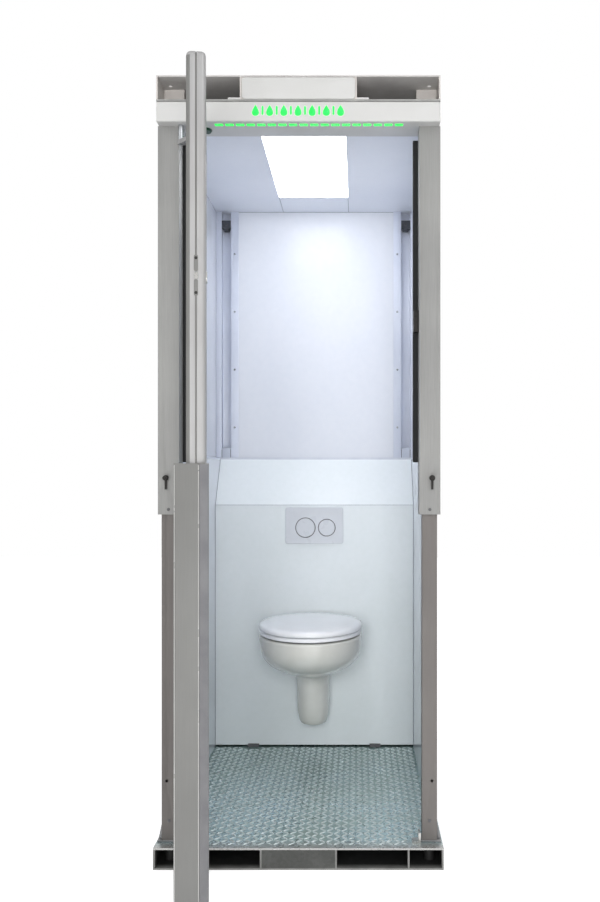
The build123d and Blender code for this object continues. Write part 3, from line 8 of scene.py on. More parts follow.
import bmesh
import bpy
import numpy as np
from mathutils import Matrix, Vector

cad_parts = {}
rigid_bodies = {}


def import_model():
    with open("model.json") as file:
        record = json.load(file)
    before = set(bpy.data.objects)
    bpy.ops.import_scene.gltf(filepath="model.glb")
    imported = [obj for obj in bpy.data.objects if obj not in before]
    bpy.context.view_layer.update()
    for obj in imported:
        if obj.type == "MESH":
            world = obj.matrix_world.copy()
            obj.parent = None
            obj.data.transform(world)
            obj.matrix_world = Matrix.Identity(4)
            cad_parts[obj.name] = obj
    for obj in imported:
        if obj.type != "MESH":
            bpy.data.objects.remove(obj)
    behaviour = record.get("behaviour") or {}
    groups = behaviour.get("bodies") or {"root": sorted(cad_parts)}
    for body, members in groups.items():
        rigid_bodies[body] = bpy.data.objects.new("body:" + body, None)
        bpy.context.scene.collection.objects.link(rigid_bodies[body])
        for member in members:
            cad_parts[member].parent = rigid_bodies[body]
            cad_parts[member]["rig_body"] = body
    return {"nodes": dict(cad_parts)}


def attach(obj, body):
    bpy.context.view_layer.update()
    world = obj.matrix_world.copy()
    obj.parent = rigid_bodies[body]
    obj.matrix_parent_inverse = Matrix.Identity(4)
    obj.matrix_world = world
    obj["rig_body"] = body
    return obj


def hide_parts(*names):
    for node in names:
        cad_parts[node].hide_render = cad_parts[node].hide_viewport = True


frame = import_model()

Points = np.ndarray
Shape = tuple[Points, Points]
Pair = tuple[float, float]
Triple = tuple[float, float, float]
Four = tuple[float, float, float, float]
Node = bpy.types.Node
Socket = bpy.types.NodeSocket
Tree = bpy.types.NodeTree

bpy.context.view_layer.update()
LOG = logging.getLogger("pop_up_toilet")
MM = 0.001
X_AXIS: Triple = (1.0, 0.0, 0.0)
Y_AXIS: Triple = (0.0, 1.0, 0.0)
Z_AXIS: Triple = (0.0, 0.0, 1.0)
# A direction along none of the axes, from which the circles of a turned shape start
SLANT: Triple = (0.31, 0.52, 0.79)
WHITE: Four = (1.0, 1.0, 1.0, 1.0)
# Distances in metres under which points of a new shape or of a CAD node are merged, and edges are dropped
MERGE, CAD_MERGE, DROP = 1e-7, 1e-6, 1e-8
# Angles in degrees under which neighbouring CAD faces count as one, and above which an edge is rounded
FLAT, EDGE = 0.6, 35.0
# Points in a rounded corner, and the least radius that such a corner keeps
CORNER_STEPS, LEAST_CORNER = 5, 0.05
# Share of the fine noise in the drift of the colour, and the strength of the relief
FINE_SHARE, RELIEF = 0.3, 0.6
# Octaves of the colour drift and of the fine relief
CLOUD_DETAIL, GRAIN_DETAIL = 4.0, 3.0
# Metallic share from which a finish keeps the default index of refraction
MOSTLY_METAL = 0.5
# Values of the noise between which colour and roughness go from one end to the other
DRIFT: Pair = (0.35, 0.65)
SHEEN: Pair = (0.3, 0.7)


def linear(code: str) -> Four:
    """Turn an sRGB hex colour into linear red, green and blue with full alpha.

    Args:
        code: Colour such as "#a0b0c0".

    Returns:
        Linear red, green, blue and alpha.
    """
    values = np.array([int(code[i : i + 2], 16) for i in (1, 3, 5)]) / 255.0
    curve = np.where(values <= 0.04045, values / 12.92, ((values + 0.055) / 1.055) ** 2.4)
    return (*curve.tolist(), 1.0)


def add(tree: Tree, kind: str, links: dict[Any, Any] | tuple = (), **settings: Any) -> Node:
    """Add a node to a tree.

    Args:
        tree: Node tree of a material or of the world.
        kind: Type name of the node.
        links: Output to join, or value to set, by the input's name or number, or in the inputs' order.
        settings: Attributes of the node itself.

    Returns:
        The new node.
    """
    node = tree.nodes.new(kind)
    for key, value in settings.items():
        setattr(node, key, value)
    for key, value in links.items() if isinstance(links, dict) else enumerate(links):
        if isinstance(value, Socket):
            tree.links.new(value, node.inputs[key])
        else:
            node.inputs[key].default_value = value
    return node


def per_metre(size_mm: float) -> float:
    """Texture scale at which one cell of a pattern is this many millimetres wide."""
    return 1.0 / (size_mm * MM)


@dataclass
class Layers:
    """What a material is made of while it is built.

    Attributes:
        tree: Node tree of the material.
        place: Object coordinates.
        colour: Colour so far.
        gloss: Roughness so far.
        height: Height so far.
    """

    tree: Tree
    place: Socket
    colour: Socket
    gloss: Socket
    height: Socket


class Grain(Enum):
    """Direction in which a pattern is drawn out."""

    EVEN = (1.0, 1.0, 1.0)
    ALONG_Z = (1.0, 1.0, 0.02)


@dataclass(frozen=True)
class Finish:
    """A surface of one real material: two tints in a cloudy mix, a fine relief and an uneven gloss.

    Attributes:
        name: Real material and how its surface was made.
        tint: Main colour.
        other: Colour that the main one drifts to.
        cloud_mm: Size of the colour drift.
        grain_mm: Size of the fine relief. Real grain is often too fine to show, and is then drawn coarser.
        relief_mm: Height of the fine relief.
        rough: Least and greatest roughness.
        metal: Metallic share.
        ior: Index of refraction.
        coat: Weight of a clear coat.
        grain: Direction of the relief.
    """

    name: str
    tint: str
    other: str
    cloud_mm: float
    grain_mm: float
    relief_mm: float
    rough: Pair
    metal: float = 0.0
    ior: float = 1.5
    coat: float = 0.0
    grain: Grain = Grain.EVEN

    def material(self) -> bpy.types.Material:
        """Build the material, or give the one that was built before.

        Returns:
            The material of this finish.
        """
        known = bpy.data.materials.get(self.name)
        if known is not None:
            return known
        made = bpy.data.materials.new(self.name)
        made.use_nodes = True
        tree = made.node_tree
        shader = tree.nodes["Principled BSDF"]
        shader.inputs["Metallic"].default_value = self.metal
        shader.inputs["Coat Weight"].default_value = self.coat
        if self.metal < MOSTLY_METAL:
            shader.inputs["IOR"].default_value = self.ior
        place = add(tree, "ShaderNodeTexCoord").outputs["Object"]
        drawn = add(tree, "ShaderNodeMapping", {"Vector": place, "Scale": self.grain.value}).outputs[0]
        wide = {"Vector": place, "Scale": per_metre(self.cloud_mm), "Detail": CLOUD_DETAIL}
        cloud = add(tree, "ShaderNodeTexNoise", wide).outputs[0]
        close = {"Vector": drawn, "Scale": per_metre(self.grain_mm), "Detail": GRAIN_DETAIL}
        fine = add(tree, "ShaderNodeTexNoise", close).outputs[0]
        both = add(tree, "ShaderNodeMix", {0: FINE_SHARE, 2: cloud, 3: fine}).outputs[0]
        share = add(tree, "ShaderNodeMapRange", (both, *DRIFT)).outputs[0]
        tints = {0: share, 6: linear(self.tint), 7: linear(self.other)}
        colour = add(tree, "ShaderNodeMix", tints, data_type="RGBA").outputs[2]
        gloss = add(tree, "ShaderNodeMapRange", (cloud, *SHEEN, *self.rough)).outputs[0]
        layers = Layers(tree, place, colour, gloss, fine)
        self.dress(layers)
        relief = {"Height": layers.height, "Strength": RELIEF, "Distance": self.relief_mm * MM}
        bump = add(tree, "ShaderNodeBump", relief)
        tree.links.new(layers.colour, shader.inputs["Base Color"])
        tree.links.new(layers.gloss, shader.inputs["Roughness"])
        tree.links.new(bump.outputs[0], shader.inputs["Normal"])
        self.light(layers, shader)
        return made

    def dress(self, layers: Layers) -> None:
        """Change colour and roughness for a finish with a pattern of its own; plain ones keep them."""

    def light(self, layers: Layers, shader: Node) -> None:
        """Give off light, for a finish that does; plain ones give none."""


@dataclass(frozen=True)
class SpangledZinc(Finish):
    """Hot-dip zinc: crystal flakes of one size, each a little lighter or darker and glossier than the next.

    Attributes:
        flake_mm: Width of a crystal.
        flake_depth: Share by which a flake darkens the colour.
        flake_gloss: Least and greatest change of the roughness by a flake.
    """

    flake_mm: float = 14.0
    flake_depth: float = 0.3
    flake_gloss: Pair = (-0.08, 0.1)

    def dress(self, layers: Layers) -> None:
        """Lay crystal flakes over the colour and the roughness.

        Args:
            layers: What the material is made of so far.
        """
        tree = layers.tree
        size = {"Vector": layers.place, "Scale": per_metre(self.flake_mm)}
        cells = add(tree, "ShaderNodeTexVoronoi", size).outputs["Color"]
        flake = add(tree, "ShaderNodeSeparateColor", (cells,)).outputs[0]
        depth = (1.0 - self.flake_depth, 1.0 + self.flake_depth / 2)
        shade = add(tree, "ShaderNodeMapRange", (flake, 0.0, 1.0, *depth)).outputs[0]
        mix = {0: 1.0, 6: layers.colour, 7: shade}
        layers.colour = add(tree, "ShaderNodeMix", mix, data_type="RGBA", blend_type="MULTIPLY").outputs[2]
        change = add(tree, "ShaderNodeMapRange", (flake, 0.0, 1.0, *self.flake_gloss)).outputs[0]
        layers.gloss = add(tree, "ShaderNodeMath", (layers.gloss, change), operation="ADD").outputs[0]


@dataclass(frozen=True)
class TreadPlate(SpangledZinc):
    """Zinc plate whose flat face is tinted by passivation, with plain grey cut edges, worn grey ends and
    painted shade under the bowl.

    Attributes:
        edge_tint: Colour of the cut edges and of the worn ends.
        level: Upward share of a face's direction at which the tint starts and at which it is full.
        worn_mm: Distance from the middle at which the wear starts and at which it is full.
        worn_share: Share of the tint that full wear leaves.
        rear_shade_tint: Colour of the painted shade on the floor under the bowl, standing in for the bowl's
            shadow.
        rear_shade_mm: Y at which the painted shade starts and at which it is full.
        rear_shade_share: Greatest share of the painted shade.
    """

    edge_tint: str = "#b3b3b1"
    level: Pair = (0.4, 0.6)
    worn_mm: Pair = (535.0, 590.0)
    worn_share: float = 0.1
    rear_shade_tint: str = "#6f8780"
    rear_shade_mm: Pair = (-260.0, 300.0)
    rear_shade_share: float = 0.75

    def dress(self, layers: Layers) -> None:
        """Darken the tint towards the rear with painted shade under the bowl, keep it on level faces, and
        turn upright ones and worn ends grey.

        Args:
            layers: What the material is made of so far.
        """
        super().dress(layers)
        tree = layers.tree
        along = add(tree, "ShaderNodeSeparateXYZ", (layers.place,)).outputs["Y"]
        # Painted shade: the floor darkens towards the rear, standing in for the bowl's shadow on it.
        start, end = self.rear_shade_mm
        reach = (along, start * MM, end * MM, 0.0, self.rear_shade_share)
        shaded_share = add(tree, "ShaderNodeMapRange", reach).outputs[0]
        rear_shade_mix = {0: shaded_share, 6: layers.colour, 7: linear(self.rear_shade_tint)}
        colour = add(tree, "ShaderNodeMix", rear_shade_mix, data_type="RGBA").outputs[2]
        facing = add(tree, "ShaderNodeTexCoord").outputs["Normal"]
        upward = add(tree, "ShaderNodeSeparateXYZ", (facing,)).outputs["Z"]
        either = add(tree, "ShaderNodeMath", (upward,), operation="ABSOLUTE").outputs[0]
        flat = add(tree, "ShaderNodeMapRange", (either, *self.level)).outputs[0]
        away = add(tree, "ShaderNodeMath", (along,), operation="ABSOLUTE").outputs[0]
        start, end = self.worn_mm
        reach = (away, start * MM, end * MM, 1.0, self.worn_share)
        fresh = add(tree, "ShaderNodeMapRange", reach).outputs[0]
        kept = add(tree, "ShaderNodeMath", (flat, fresh), operation="MULTIPLY").outputs[0]
        worn = {0: kept, 6: linear(self.edge_tint), 7: colour}
        layers.colour = add(tree, "ShaderNodeMix", worn, data_type="RGBA").outputs[2]


@dataclass(frozen=True)
class PalletSteel(Finish):
    """Painted pallet steel: grey at the open ends, darkened deeper inside by painted shade.

    Attributes:
        inner_shade_tint: Colour of the painted shade deep inside.
        open_mm: Distance from the middle at which the painted shade ends.
        fade_mm: Length over which the painted shade fades out.
    """

    inner_shade_tint: str = "#1f1f1f"
    open_mm: float = 592.0
    fade_mm: float = 14.0

    def dress(self, layers: Layers) -> None:
        """Blend to the painted shade away from the front and rear edges.

        Args:
            layers: What the material is made of so far.
        """
        tree = layers.tree
        # Painted shade: the colour darkens away from the open ends, where the pockets fall into shade.
        along = add(tree, "ShaderNodeSeparateXYZ", (layers.place,)).outputs["Y"]
        away = add(tree, "ShaderNodeMath", (along,), operation="ABSOLUTE").outputs[0]
        fray = (layers.height, self.fade_mm * MM, away)
        ragged = add(tree, "ShaderNodeMath", fray, operation="MULTIPLY_ADD").outputs[0]
        start, end = (self.open_mm - self.fade_mm) * MM, (self.open_mm + self.fade_mm) * MM
        unshaded = add(tree, "ShaderNodeMapRange", (ragged, start, end)).outputs[0]
        coat = {0: unshaded, 6: linear(self.inner_shade_tint), 7: layers.colour}
        layers.colour = add(tree, "ShaderNodeMix", coat, data_type="RGBA").outputs[2]


@dataclass(frozen=True)
class SplitTintMetal(Finish):
    """Anodised metal whose pieces behind a line have a tint of their own.

    Attributes:
        rear_tint: Colour of the pieces behind the line.
        line_mm: Y of the line.
    """

    rear_tint: str = "#c9cfdb"
    line_mm: float = 0.0

    def dress(self, layers: Layers) -> None:
        """Give the pieces behind the line their tint.

        Args:
            layers: What the material is made of so far.
        """
        tree = layers.tree
        along = add(tree, "ShaderNodeSeparateXYZ", (layers.place,)).outputs["Y"]
        behind = add(tree, "ShaderNodeMath", (along, self.line_mm * MM), operation="GREATER_THAN").outputs[0]
        tints = {0: behind, 6: layers.colour, 7: linear(self.rear_tint)}
        layers.colour = add(tree, "ShaderNodeMix", tints, data_type="RGBA").outputs[2]


@dataclass(frozen=True)
class LitLens(Finish):
    """Lens or diffuser lit from behind: brightest where the light behind it is nearest.

    Attributes:
        glow: Strength of the light.
        cell_mm: Spacing of the lights behind the lens.
        fall: Share of the strength at a light and between lights.
    """

    glow: float = 1.0
    cell_mm: float = 12.0
    fall: Pair = (1.08, 0.9)

    def light(self, layers: Layers, shader: Node) -> None:
        """Give off light that falls a little between the lights behind the lens.

        Args:
            layers: What the material is made of.
            shader: Surface shader.
        """
        tree = layers.tree
        size = {"Vector": layers.place, "Scale": per_metre(self.cell_mm)}
        spots = add(tree, "ShaderNodeTexVoronoi", size, feature="SMOOTH_F1").outputs["Distance"]
        near, between = self.glow * self.fall[0], self.glow * self.fall[1]
        power = add(tree, "ShaderNodeMapRange", (spots, 0.0, 1.0, near, between)).outputs[0]
        tree.links.new(layers.colour, shader.inputs["Emission Color"])
        tree.links.new(power, shader.inputs["Emission Strength"])


class Surface(Enum):
    """The finishes of the object, each named for its real material and how it was made, or for the light or
    shade painted into it.
    """

    # Hot-dip galvanised plate: grey crystal flakes, dull sheen, slight white bloom
    GALVANISED = SpangledZinc(
        "galvanised_steel_hot_dipped", "#a9aaab", "#8f9092", 160, 3, 0.05, (0.38, 0.55), 1.0,
        flake_mm=16, flake_depth=0.22,
    )
    # Rolled tread plate with clear passivation: bluish grey that drifts to green, its crests painted bright
    # as a highlight
    TREAD = TreadPlate(
        "tread_plate_rolled_and_passivated", "#b9d2dc", "#b0c6c2", 150, 5, 0.06, (0.24, 0.36), 0.65,
        flake_mm=9, flake_depth=0.07,
    )
    # Crests of the tread bars: the same plate painted brighter, as a painted highlight where the bars catch
    # the light
    CREST = Finish("tread_plate_painted_highlight", "#e0eaea", "#d3dedd", 30, 2, 0.03, (0.24, 0.36), 0.45)
    # Folded galvanised cover: small crystals, dull mid grey
    COVER = SpangledZinc(
        "galvanised_sheet_folded", "#5b5c5a", "#50514f", 90, 2, 0.05, (0.4, 0.55), 0.6,
        flake_mm=7, flake_depth=0.2,
    )
    # Welded pallet steel: grey paint at the open ends, painted shade in black inside
    PALLET = PalletSteel("pallet_steel_painted", "#8d8d8b", "#6f6f6d", 60, 3, 0.08, (0.5, 0.7))
    # Webs of the roof pallet: grey paint at the ends, painted shade in brown-grey deeper in the pockets
    ROOF_WEB = PalletSteel(
        "pallet_web_painted_shade", "#cbc7c3", "#bbb6b2", 60, 3, 0.08, (0.5, 0.7),
        inner_shade_tint="#8f8883", open_mm=500, fade_mm=95,
    )
    # Rolled pallet plate: the same grey paint with rubbed brighter patches
    PALLET_PLATE = Finish("pallet_plate_painted", "#a3a3a1", "#8c8c8a", 70, 3, 0.08, (0.42, 0.62), 0.4)
    # Top plate of the roof pallet: the pallet plate's paint made paler as painted light in the dark pockets,
    # with a brown cast
    ROOF_PLATE = Finish("pallet_plate_painted_light", "#c6c4c2", "#b6b3b1", 70, 3, 0.08, (0.5, 0.7))
    # Edge bead of the door: brighter aluminium, a painted highlight along the rounded corners of the leaf's
    # edge
    BEAD = Finish("aluminium_bead_painted_highlight", "#b9b9b7", "#b0b0ae", 60, 1.2, 0.02, (0.25, 0.35), 0.5)
    # Extruded and anodised aluminium of the standing posts: warm grey with faint die lines, pale at the rear
    POST = SplitTintMetal(
        "aluminium_anodised_warm", "#797572", "#706c6a", 300, 1.5, 0.03, (0.5, 0.6), 0.3, grain=Grain.ALONG_Z
    )
    # Extruded and anodised aluminium of the sleeves: lighter, with the same die lines
    SLEEVE = Finish(
        "aluminium_anodised_light", "#9e9e9c", "#8d8d8c", 420, 1.5, 0.03, (0.5, 0.6), 0.3, grain=Grain.ALONG_Z
    )
    # Door leaf sections: extruded, anodised, faint upright lines
    LEAF = Finish(
        "aluminium_anodised_door", "#767674", "#6e6e6c", 260, 1.5, 0.03, (0.42, 0.52),
        0.35, grain=Grain.ALONG_Z,
    )
    # Upper leaf sections: natural anodised, brighter
    LEAF_LIGHT = Finish(
        "aluminium_anodised_natural", "#a2a2a2", "#989797", 260, 1.5, 0.03, (0.36, 0.46),
        0.4, grain=Grain.ALONG_Z,
    )
    # Folded sheet of the rear channels: mill finish, cool grey
    CHANNEL = Finish(
        "aluminium_folded_mill_finish", "#dde2ee", "#d2d7e4", 200, 1.5, 0.03, (0.4, 0.52),
        0.35, grain=Grain.ALONG_Z,
    )
    # High-pressure laminate of the walls: bluish white, glossy, slight ripple from the press
    WALL = Finish("laminate_pressed_white", "#dee1e8", "#d8dce4", 420, 24, 0.012, (0.1, 0.14), ior=1.28)
    # Coil-coated sheet of the ceiling: the same white, a little brighter
    CEILING = Finish("aluminium_coil_coated_white", "#eff2fa", "#e8ecf5", 420, 6, 0.03, (0.34, 0.46))
    # Satin laminate of the cistern panel: pale cool grey
    PANEL = Finish("laminate_pressed_pale_grey", "#e6ecef", "#e0e7e9", 380, 18, 0.03, (0.34, 0.42))
    # Polyester powder coat: off-white with an orange-peel skin
    POWDER = Finish("steel_powder_coated_off_white", "#c9c9c8", "#c2c2c0", 150, 2.5, 0.06, (0.35, 0.5))
    # Vitreous china: white glaze, soft pooling, very smooth
    CHINA = Finish("vitreous_china_glazed", "#dfdfda", "#d8d8d2", 90, 30, 0.06, (0.14, 0.2), coat=0.25)
    # Pressed duroplast of seat and lid: white, polished
    DUROPLAST = Finish(
        "duroplast_pressed_white", "#f6f7fa", "#eff1f5", 140, 20, 0.04, (0.12, 0.2), ior=1.53, coat=0.3
    )
    # Moulded ABS of the flush plate: white, fine satin
    ABS_WHITE = Finish("abs_moulded_white", "#d3d7dd", "#ccd0d6", 60, 1.2, 0.03, (0.25, 0.36), ior=1.53)
    # Blow-moulded polyethylene of the tank: milky white, waxy
    TANK = Finish("polyethylene_blow_moulded", "#dcdcd6", "#cfcfc8", 80, 6, 0.15, (0.4, 0.55), ior=1.51)
    # Moulded ABS of small fittings: mid grey, satin
    ABS_GREY = Finish("abs_moulded_grey", "#69696b", "#5d5d60", 50, 1.4, 0.05, (0.4, 0.55), ior=1.53)
    # Extruded pipe: light grey with lines along its run
    PIPE = Finish("pvc_extruded_grey", "#a9abad", "#9b9da0", 60, 2, 0.04, (0.3, 0.45), ior=1.53)
    # EPDM rubber: black, matt, a little dust
    RUBBER = Finish(
        "epdm_extruded_black", "#161717", "#242526", 40, 1.6, 0.08, (0.6, 0.8), ior=1.52, grain=Grain.ALONG_Z
    )
    # Extruded silicone of the wall edge: pale, soft sheen
    SILICONE = Finish("silicone_extruded_pale", "#d5d9e2", "#cbd0da", 40, 1.6, 0.05, (0.4, 0.55), ior=1.43)
    # Tooled silicone in the joints of the panels: mid grey
    SEALANT = Finish("silicone_sealant_tooled", "#8f959c", "#858b92", 30, 2, 0.03, (0.45, 0.6), ior=1.43)
    # Cast polyurethane of the landing buffers: dark grey, dull
    BUFFER = Finish("polyurethane_cast_dark_grey", "#4b4e53", "#404348", 30, 1.5, 0.05, (0.4, 0.55))
    # Machined polyacetal slide pads: dark, waxy
    SLIDE = Finish("polyacetal_machined_dark", "#2b2c2e", "#222325", 30, 1.2, 0.04, (0.35, 0.5), ior=1.48)
    # Zinc-plated steel: bright, slightly blue, fine turning marks
    ZINC = Finish("steel_zinc_plated", "#c3c6c9", "#aeb2b6", 12, 0.8, 0.02, (0.2, 0.35), 1.0)
    # Ground stainless steel: bright, slightly warm, fine satin
    STAINLESS = Finish("stainless_steel_ground", "#c9c8c5", "#b9b8b5", 20, 0.7, 0.02, (0.22, 0.34), 1.0)
    # Burnished steel of the locks: near black with rubbed grey edges
    BURNISHED = Finish("steel_burnished_black", "#2a2928", "#3a3836", 8, 0.9, 0.03, (0.35, 0.55), 0.6)
    # Green light behind an acrylic lens: bright, a little uneven
    GREEN = LitLens(
        "acrylic_lens_lit_green", "#12e83f", "#2bf056", 14, 2, 0.01, (0.2, 0.3),
        ior=1.49, glow=1.0, cell_mm=11,
    )
    # Opal acrylic over rows of white lights: an even white glow
    OPAL = LitLens(
        "acrylic_opal_lit_white", "#fffefe", "#f8faff", 60, 2, 0.01, (0.3, 0.4),
        ior=1.49, glow=5.8, cell_mm=40,
    )
    # Smoked polycarbonate over a sensor: very dark green, satin
    SMOKED = Finish("polycarbonate_smoked", "#06301f", "#0a3d29", 10, 1.5, 0.02, (0.3, 0.4), ior=1.4)


def dress(surface: Surface, *nodes: str) -> None:
    """Give CAD nodes a finish.

    Args:
        surface: The finish.
        nodes: Names of the nodes.
    """
    for name in nodes:
        slots = frame["nodes"][name].data.materials
        slots.clear()
        slots.append(surface.value.material())
        LOG.info("%s: %s", name, surface.value.name)


def band(rows: int, columns: int, closed: bool = False) -> Points:
    """Quads between the neighbouring points of a grid of closed rows that is stored row by row.

    Args:
        rows: Number of rows.
        columns: Number of points in a row.
        closed: Whether the last row joins the first.

    Returns:
        Point numbers of each quad.
    """
    row = np.arange(rows if closed else rows - 1)[:, None]
    column = np.arange(columns)[None, :]
    here, below, beside = row * columns, (row + 1) % rows * columns, (column + 1) % columns
    corners = np.broadcast_arrays(here + column, here + beside, below + beside, below + column)
    return np.stack([corner.ravel() for corner in corners], axis=1)


def capped(rings: Points) -> Shape:
    """Closed skin over a stack of rings, whose first and last ring shrink to their middles.

    Args:
        rings: Points as ring, place in the ring, coordinate.

    Returns:
        Points and quads.
    """
    first = np.broadcast_to(rings[0].mean(0), rings[0].shape)
    last = np.broadcast_to(rings[-1].mean(0), rings[-1].shape)
    full = np.concatenate([first[None], rings, last[None]])
    return full.reshape(-1, 3), band(full.shape[0], full.shape[1])


def looped(rings: Points) -> Shape:
    """Skin over a stack of rings whose last ring joins the first."""
    return rings.reshape(-1, 3), band(rings.shape[0], rings.shape[1], closed=True)


def around(count: int) -> Points:
    """Angles of evenly spaced points round a full turn."""
    return np.linspace(0.0, 2.0 * pi, count, endpoint=False)


def at_height(outline: Points, height: float) -> Points:
    """Flat outline as points at one height."""
    return np.column_stack([outline, np.full(len(outline), height)])


def turned(profile: list[Pair], axis: Triple, sides: int) -> Shape:
    """Solid of revolution: each (radius, height) of the profile becomes a circle across the axis.

    Args:
        profile: Radius and height of each circle in millimetres.
        axis: Direction of the axis.
        sides: Points in a circle.

    Returns:
        Points round the origin, and quads.
    """
    along = np.array(axis, float)
    side = np.cross(along, SLANT)
    side /= np.linalg.norm(side)
    other = np.cross(along, side)
    radius, height = np.array(profile, float).T
    angle = around(sides)
    circle = np.cos(angle)[:, None] * side + np.sin(angle)[:, None] * other
    return capped(radius[:, None, None] * circle + height[:, None, None] * along)


def hoop(outline: list[Pair], at: Triple, axis: Triple, sides: int) -> Shape:
    """Closed ring: each (radius, height) of a closed outline becomes a circle across the axis at a spot.

    Args:
        outline: Closed outline in millimetres.
        at: Spot of the ring's middle.
        axis: Direction of the axis.
        sides: Points in a circle.

    Returns:
        Points and quads.
    """
    points, _ = turned(outline, axis, sides)
    return looped(points.reshape(-1, sides, 3)[1:-1] + np.array(at, float))


def carried(profile: Points, path: Points, side: Triple) -> Shape:
    """Skin of a profile carried along a path: profile x along the side, y across side and path.

    Args:
        profile: Closed outline in millimetres.
        path: Points of the path in millimetres.
        side: Direction that the profile's x keeps to.

    Returns:
        Points and quads.
    """
    ahead = np.gradient(path, axis=0)
    ahead = ahead / np.linalg.norm(ahead, axis=1, keepdims=True)
    across = np.array(side, float) - (ahead @ np.array(side, float))[:, None] * ahead
    across /= np.linalg.norm(across, axis=1, keepdims=True)
    up = np.cross(ahead, across)
    sideways, upwards = profile[None, :, 0:1], profile[None, :, 1:2]
    return capped(path[:, None] + sideways * across[:, None] + upwards * up[:, None])


def round_bar(radius: float, sides: int) -> Points:
    """Circle outline for a carried profile."""
    angle = around(sides)
    return radius * np.stack([np.cos(angle), np.sin(angle)], axis=1)


def rounded(width: float, height: float, radius: float) -> Points:
    """Rectangle outline with quarter-circle corners, round the origin.

    Args:
        width: Size along x.
        height: Size along y.
        radius: Corner radius.

    Returns:
        Outline points, anticlockwise.
    """
    arc = np.linspace(0.0, pi / 2, CORNER_STEPS)[None, :] + np.arange(4)[:, None] * pi / 2
    sign = np.array([[1, 1], [-1, 1], [-1, -1], [1, -1]], float)
    middle = sign * (width / 2 - radius, height / 2 - radius)
    points = middle[:, None] + radius * np.stack([np.cos(arc), np.sin(arc)], axis=-1)
    return points.reshape(-1, 2)


def plate(width: float, height: float, corner: float, thick: float, edge: float) -> Shape:
    """Flat plate on z = 0: rounded rectangles stacked up, the top one drawn in by a quarter round.

    Args:
        width: Size along x.
        height: Size along y.
        corner: Corner radius.
        thick: Height.
        edge: Radius of the top edge.

    Returns:
        Points and quads.
    """
    turn = np.linspace(0.0, pi / 2, 4)
    inset = np.concatenate([[0.0], edge * (1 - np.cos(turn))])
    level = np.concatenate([[0.0], thick - edge + edge * np.sin(turn)])
    rings = []
    for i, z in zip(inset, level):
        rings.append(at_height(rounded(width - 2 * i, height - 2 * i, max(corner - i, LEAST_CORNER)), z))
    return capped(np.array(rings))


def placed(points: Points, at: Triple, width: Triple, height: Triple) -> Points:
    """Move points from their own axes to a spot: x along width, y along height, z along their cross product.

    Args:
        points: Points in their own axes.
        at: Spot of the origin in millimetres.
        width: Direction of x.
        height: Direction of y.

    Returns:
        The moved points.
    """
    return np.array(at, float) + points @ np.array([width, height, np.cross(width, height)], float)


def copies(shape: Shape, spots: Any) -> Shape:
    """One shape repeated at many spots.

    Args:
        shape: Points and faces of the shape.
        spots: Origin of each copy.

    Returns:
        Points and faces of all copies.
    """
    points, faces = shape
    every = np.asarray(spots, float)[:, None] + points[None]
    shift = np.arange(len(every))[:, None, None] * len(points)
    return every.reshape(-1, 3), (faces[None] + shift).reshape(-1, faces.shape[1])


def mirrored(*spots: Triple) -> list[Triple]:
    """Each spot, followed by its mirror image across the middle of the cabin."""
    return [(sign * x, y, z) for x, y, z in spots for sign in (1.0, -1.0)]


def joined(*shapes: Shape) -> Shape:
    """Several shapes as one set of points and faces.

    Args:
        shapes: Points and faces of each shape.

    Returns:
        Points and faces of all shapes.
    """
    starts = np.cumsum([0] + [len(points) for points, _ in shapes[:-1]])
    faces = [faces + start for (_, faces), start in zip(shapes, starts)]
    return np.concatenate([points for points, _ in shapes]), np.concatenate(faces)


def smooth(table: Points, at: Points) -> Points:
    """Cubic curve through a table, with the slope at each row taken from its neighbours.

    Args:
        table: Rows of a place and the values there.
        at: Places to read.

    Returns:
        Values at each place.
    """
    place, value = table[:, 0], table[:, 1:]
    slope = np.gradient(value, place, axis=0)
    k = np.clip(np.searchsorted(place, at) - 1, 0, len(place) - 2)
    step = (place[k + 1] - place[k])[:, None]
    t = (at - place[k])[:, None] / step
    start = (1 + 2 * t) * (1 - t) ** 2 * value[k] + t * (1 - t) ** 2 * step * slope[k]
    return start + t**2 * (3 - 2 * t) * value[k + 1] + t**2 * (t - 1) * step * slope[k + 1]


def stand(name: str, data: Any) -> bpy.types.Object:
    """Make an object of a mesh, a lamp or a camera and put it in the scene.

    Args:
        name: Name of the object.
        data: What it shows.

    Returns:
        The object.
    """
    made = bpy.data.objects.new(name, data)
    bpy.context.scene.collection.objects.link(made)
    return made


def piece(name: str, shape: Shape, surface: Surface, body: str, sharp: float = 38.0) -> bpy.types.Object:
    """Make a mesh piece that rides on a body: merged points, outward faces, smooth with sharp creases.

    Args:
        name: Name of the piece.
        shape: Points in millimetres, and faces.
        surface: Its finish.
        body: CAD body that carries it.
        sharp: Angle in degrees above which an edge stays sharp.

    Returns:
        The object.
    """
    points, faces = shape
    data = bpy.data.meshes.new(name)
    data.from_pydata((points * MM).tolist(), [], faces.tolist())
    work = bmesh.new()
    work.from_mesh(data)
    bmesh.ops.remove_doubles(work, verts=work.verts, dist=MERGE)
    bmesh.ops.dissolve_degenerate(work, edges=work.edges, dist=DROP)
    bmesh.ops.recalc_face_normals(work, faces=work.faces)
    work.to_mesh(data)
    work.free()
    data.shade_smooth()
    data.set_sharp_from_angle(angle=radians(sharp))
    made = stand(name, data)
    data.materials.append(surface.value.material())
    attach(made, body)
    LOG.info("%s: %d faces, %s", name, len(data.polygons), surface.value.name)
    return made


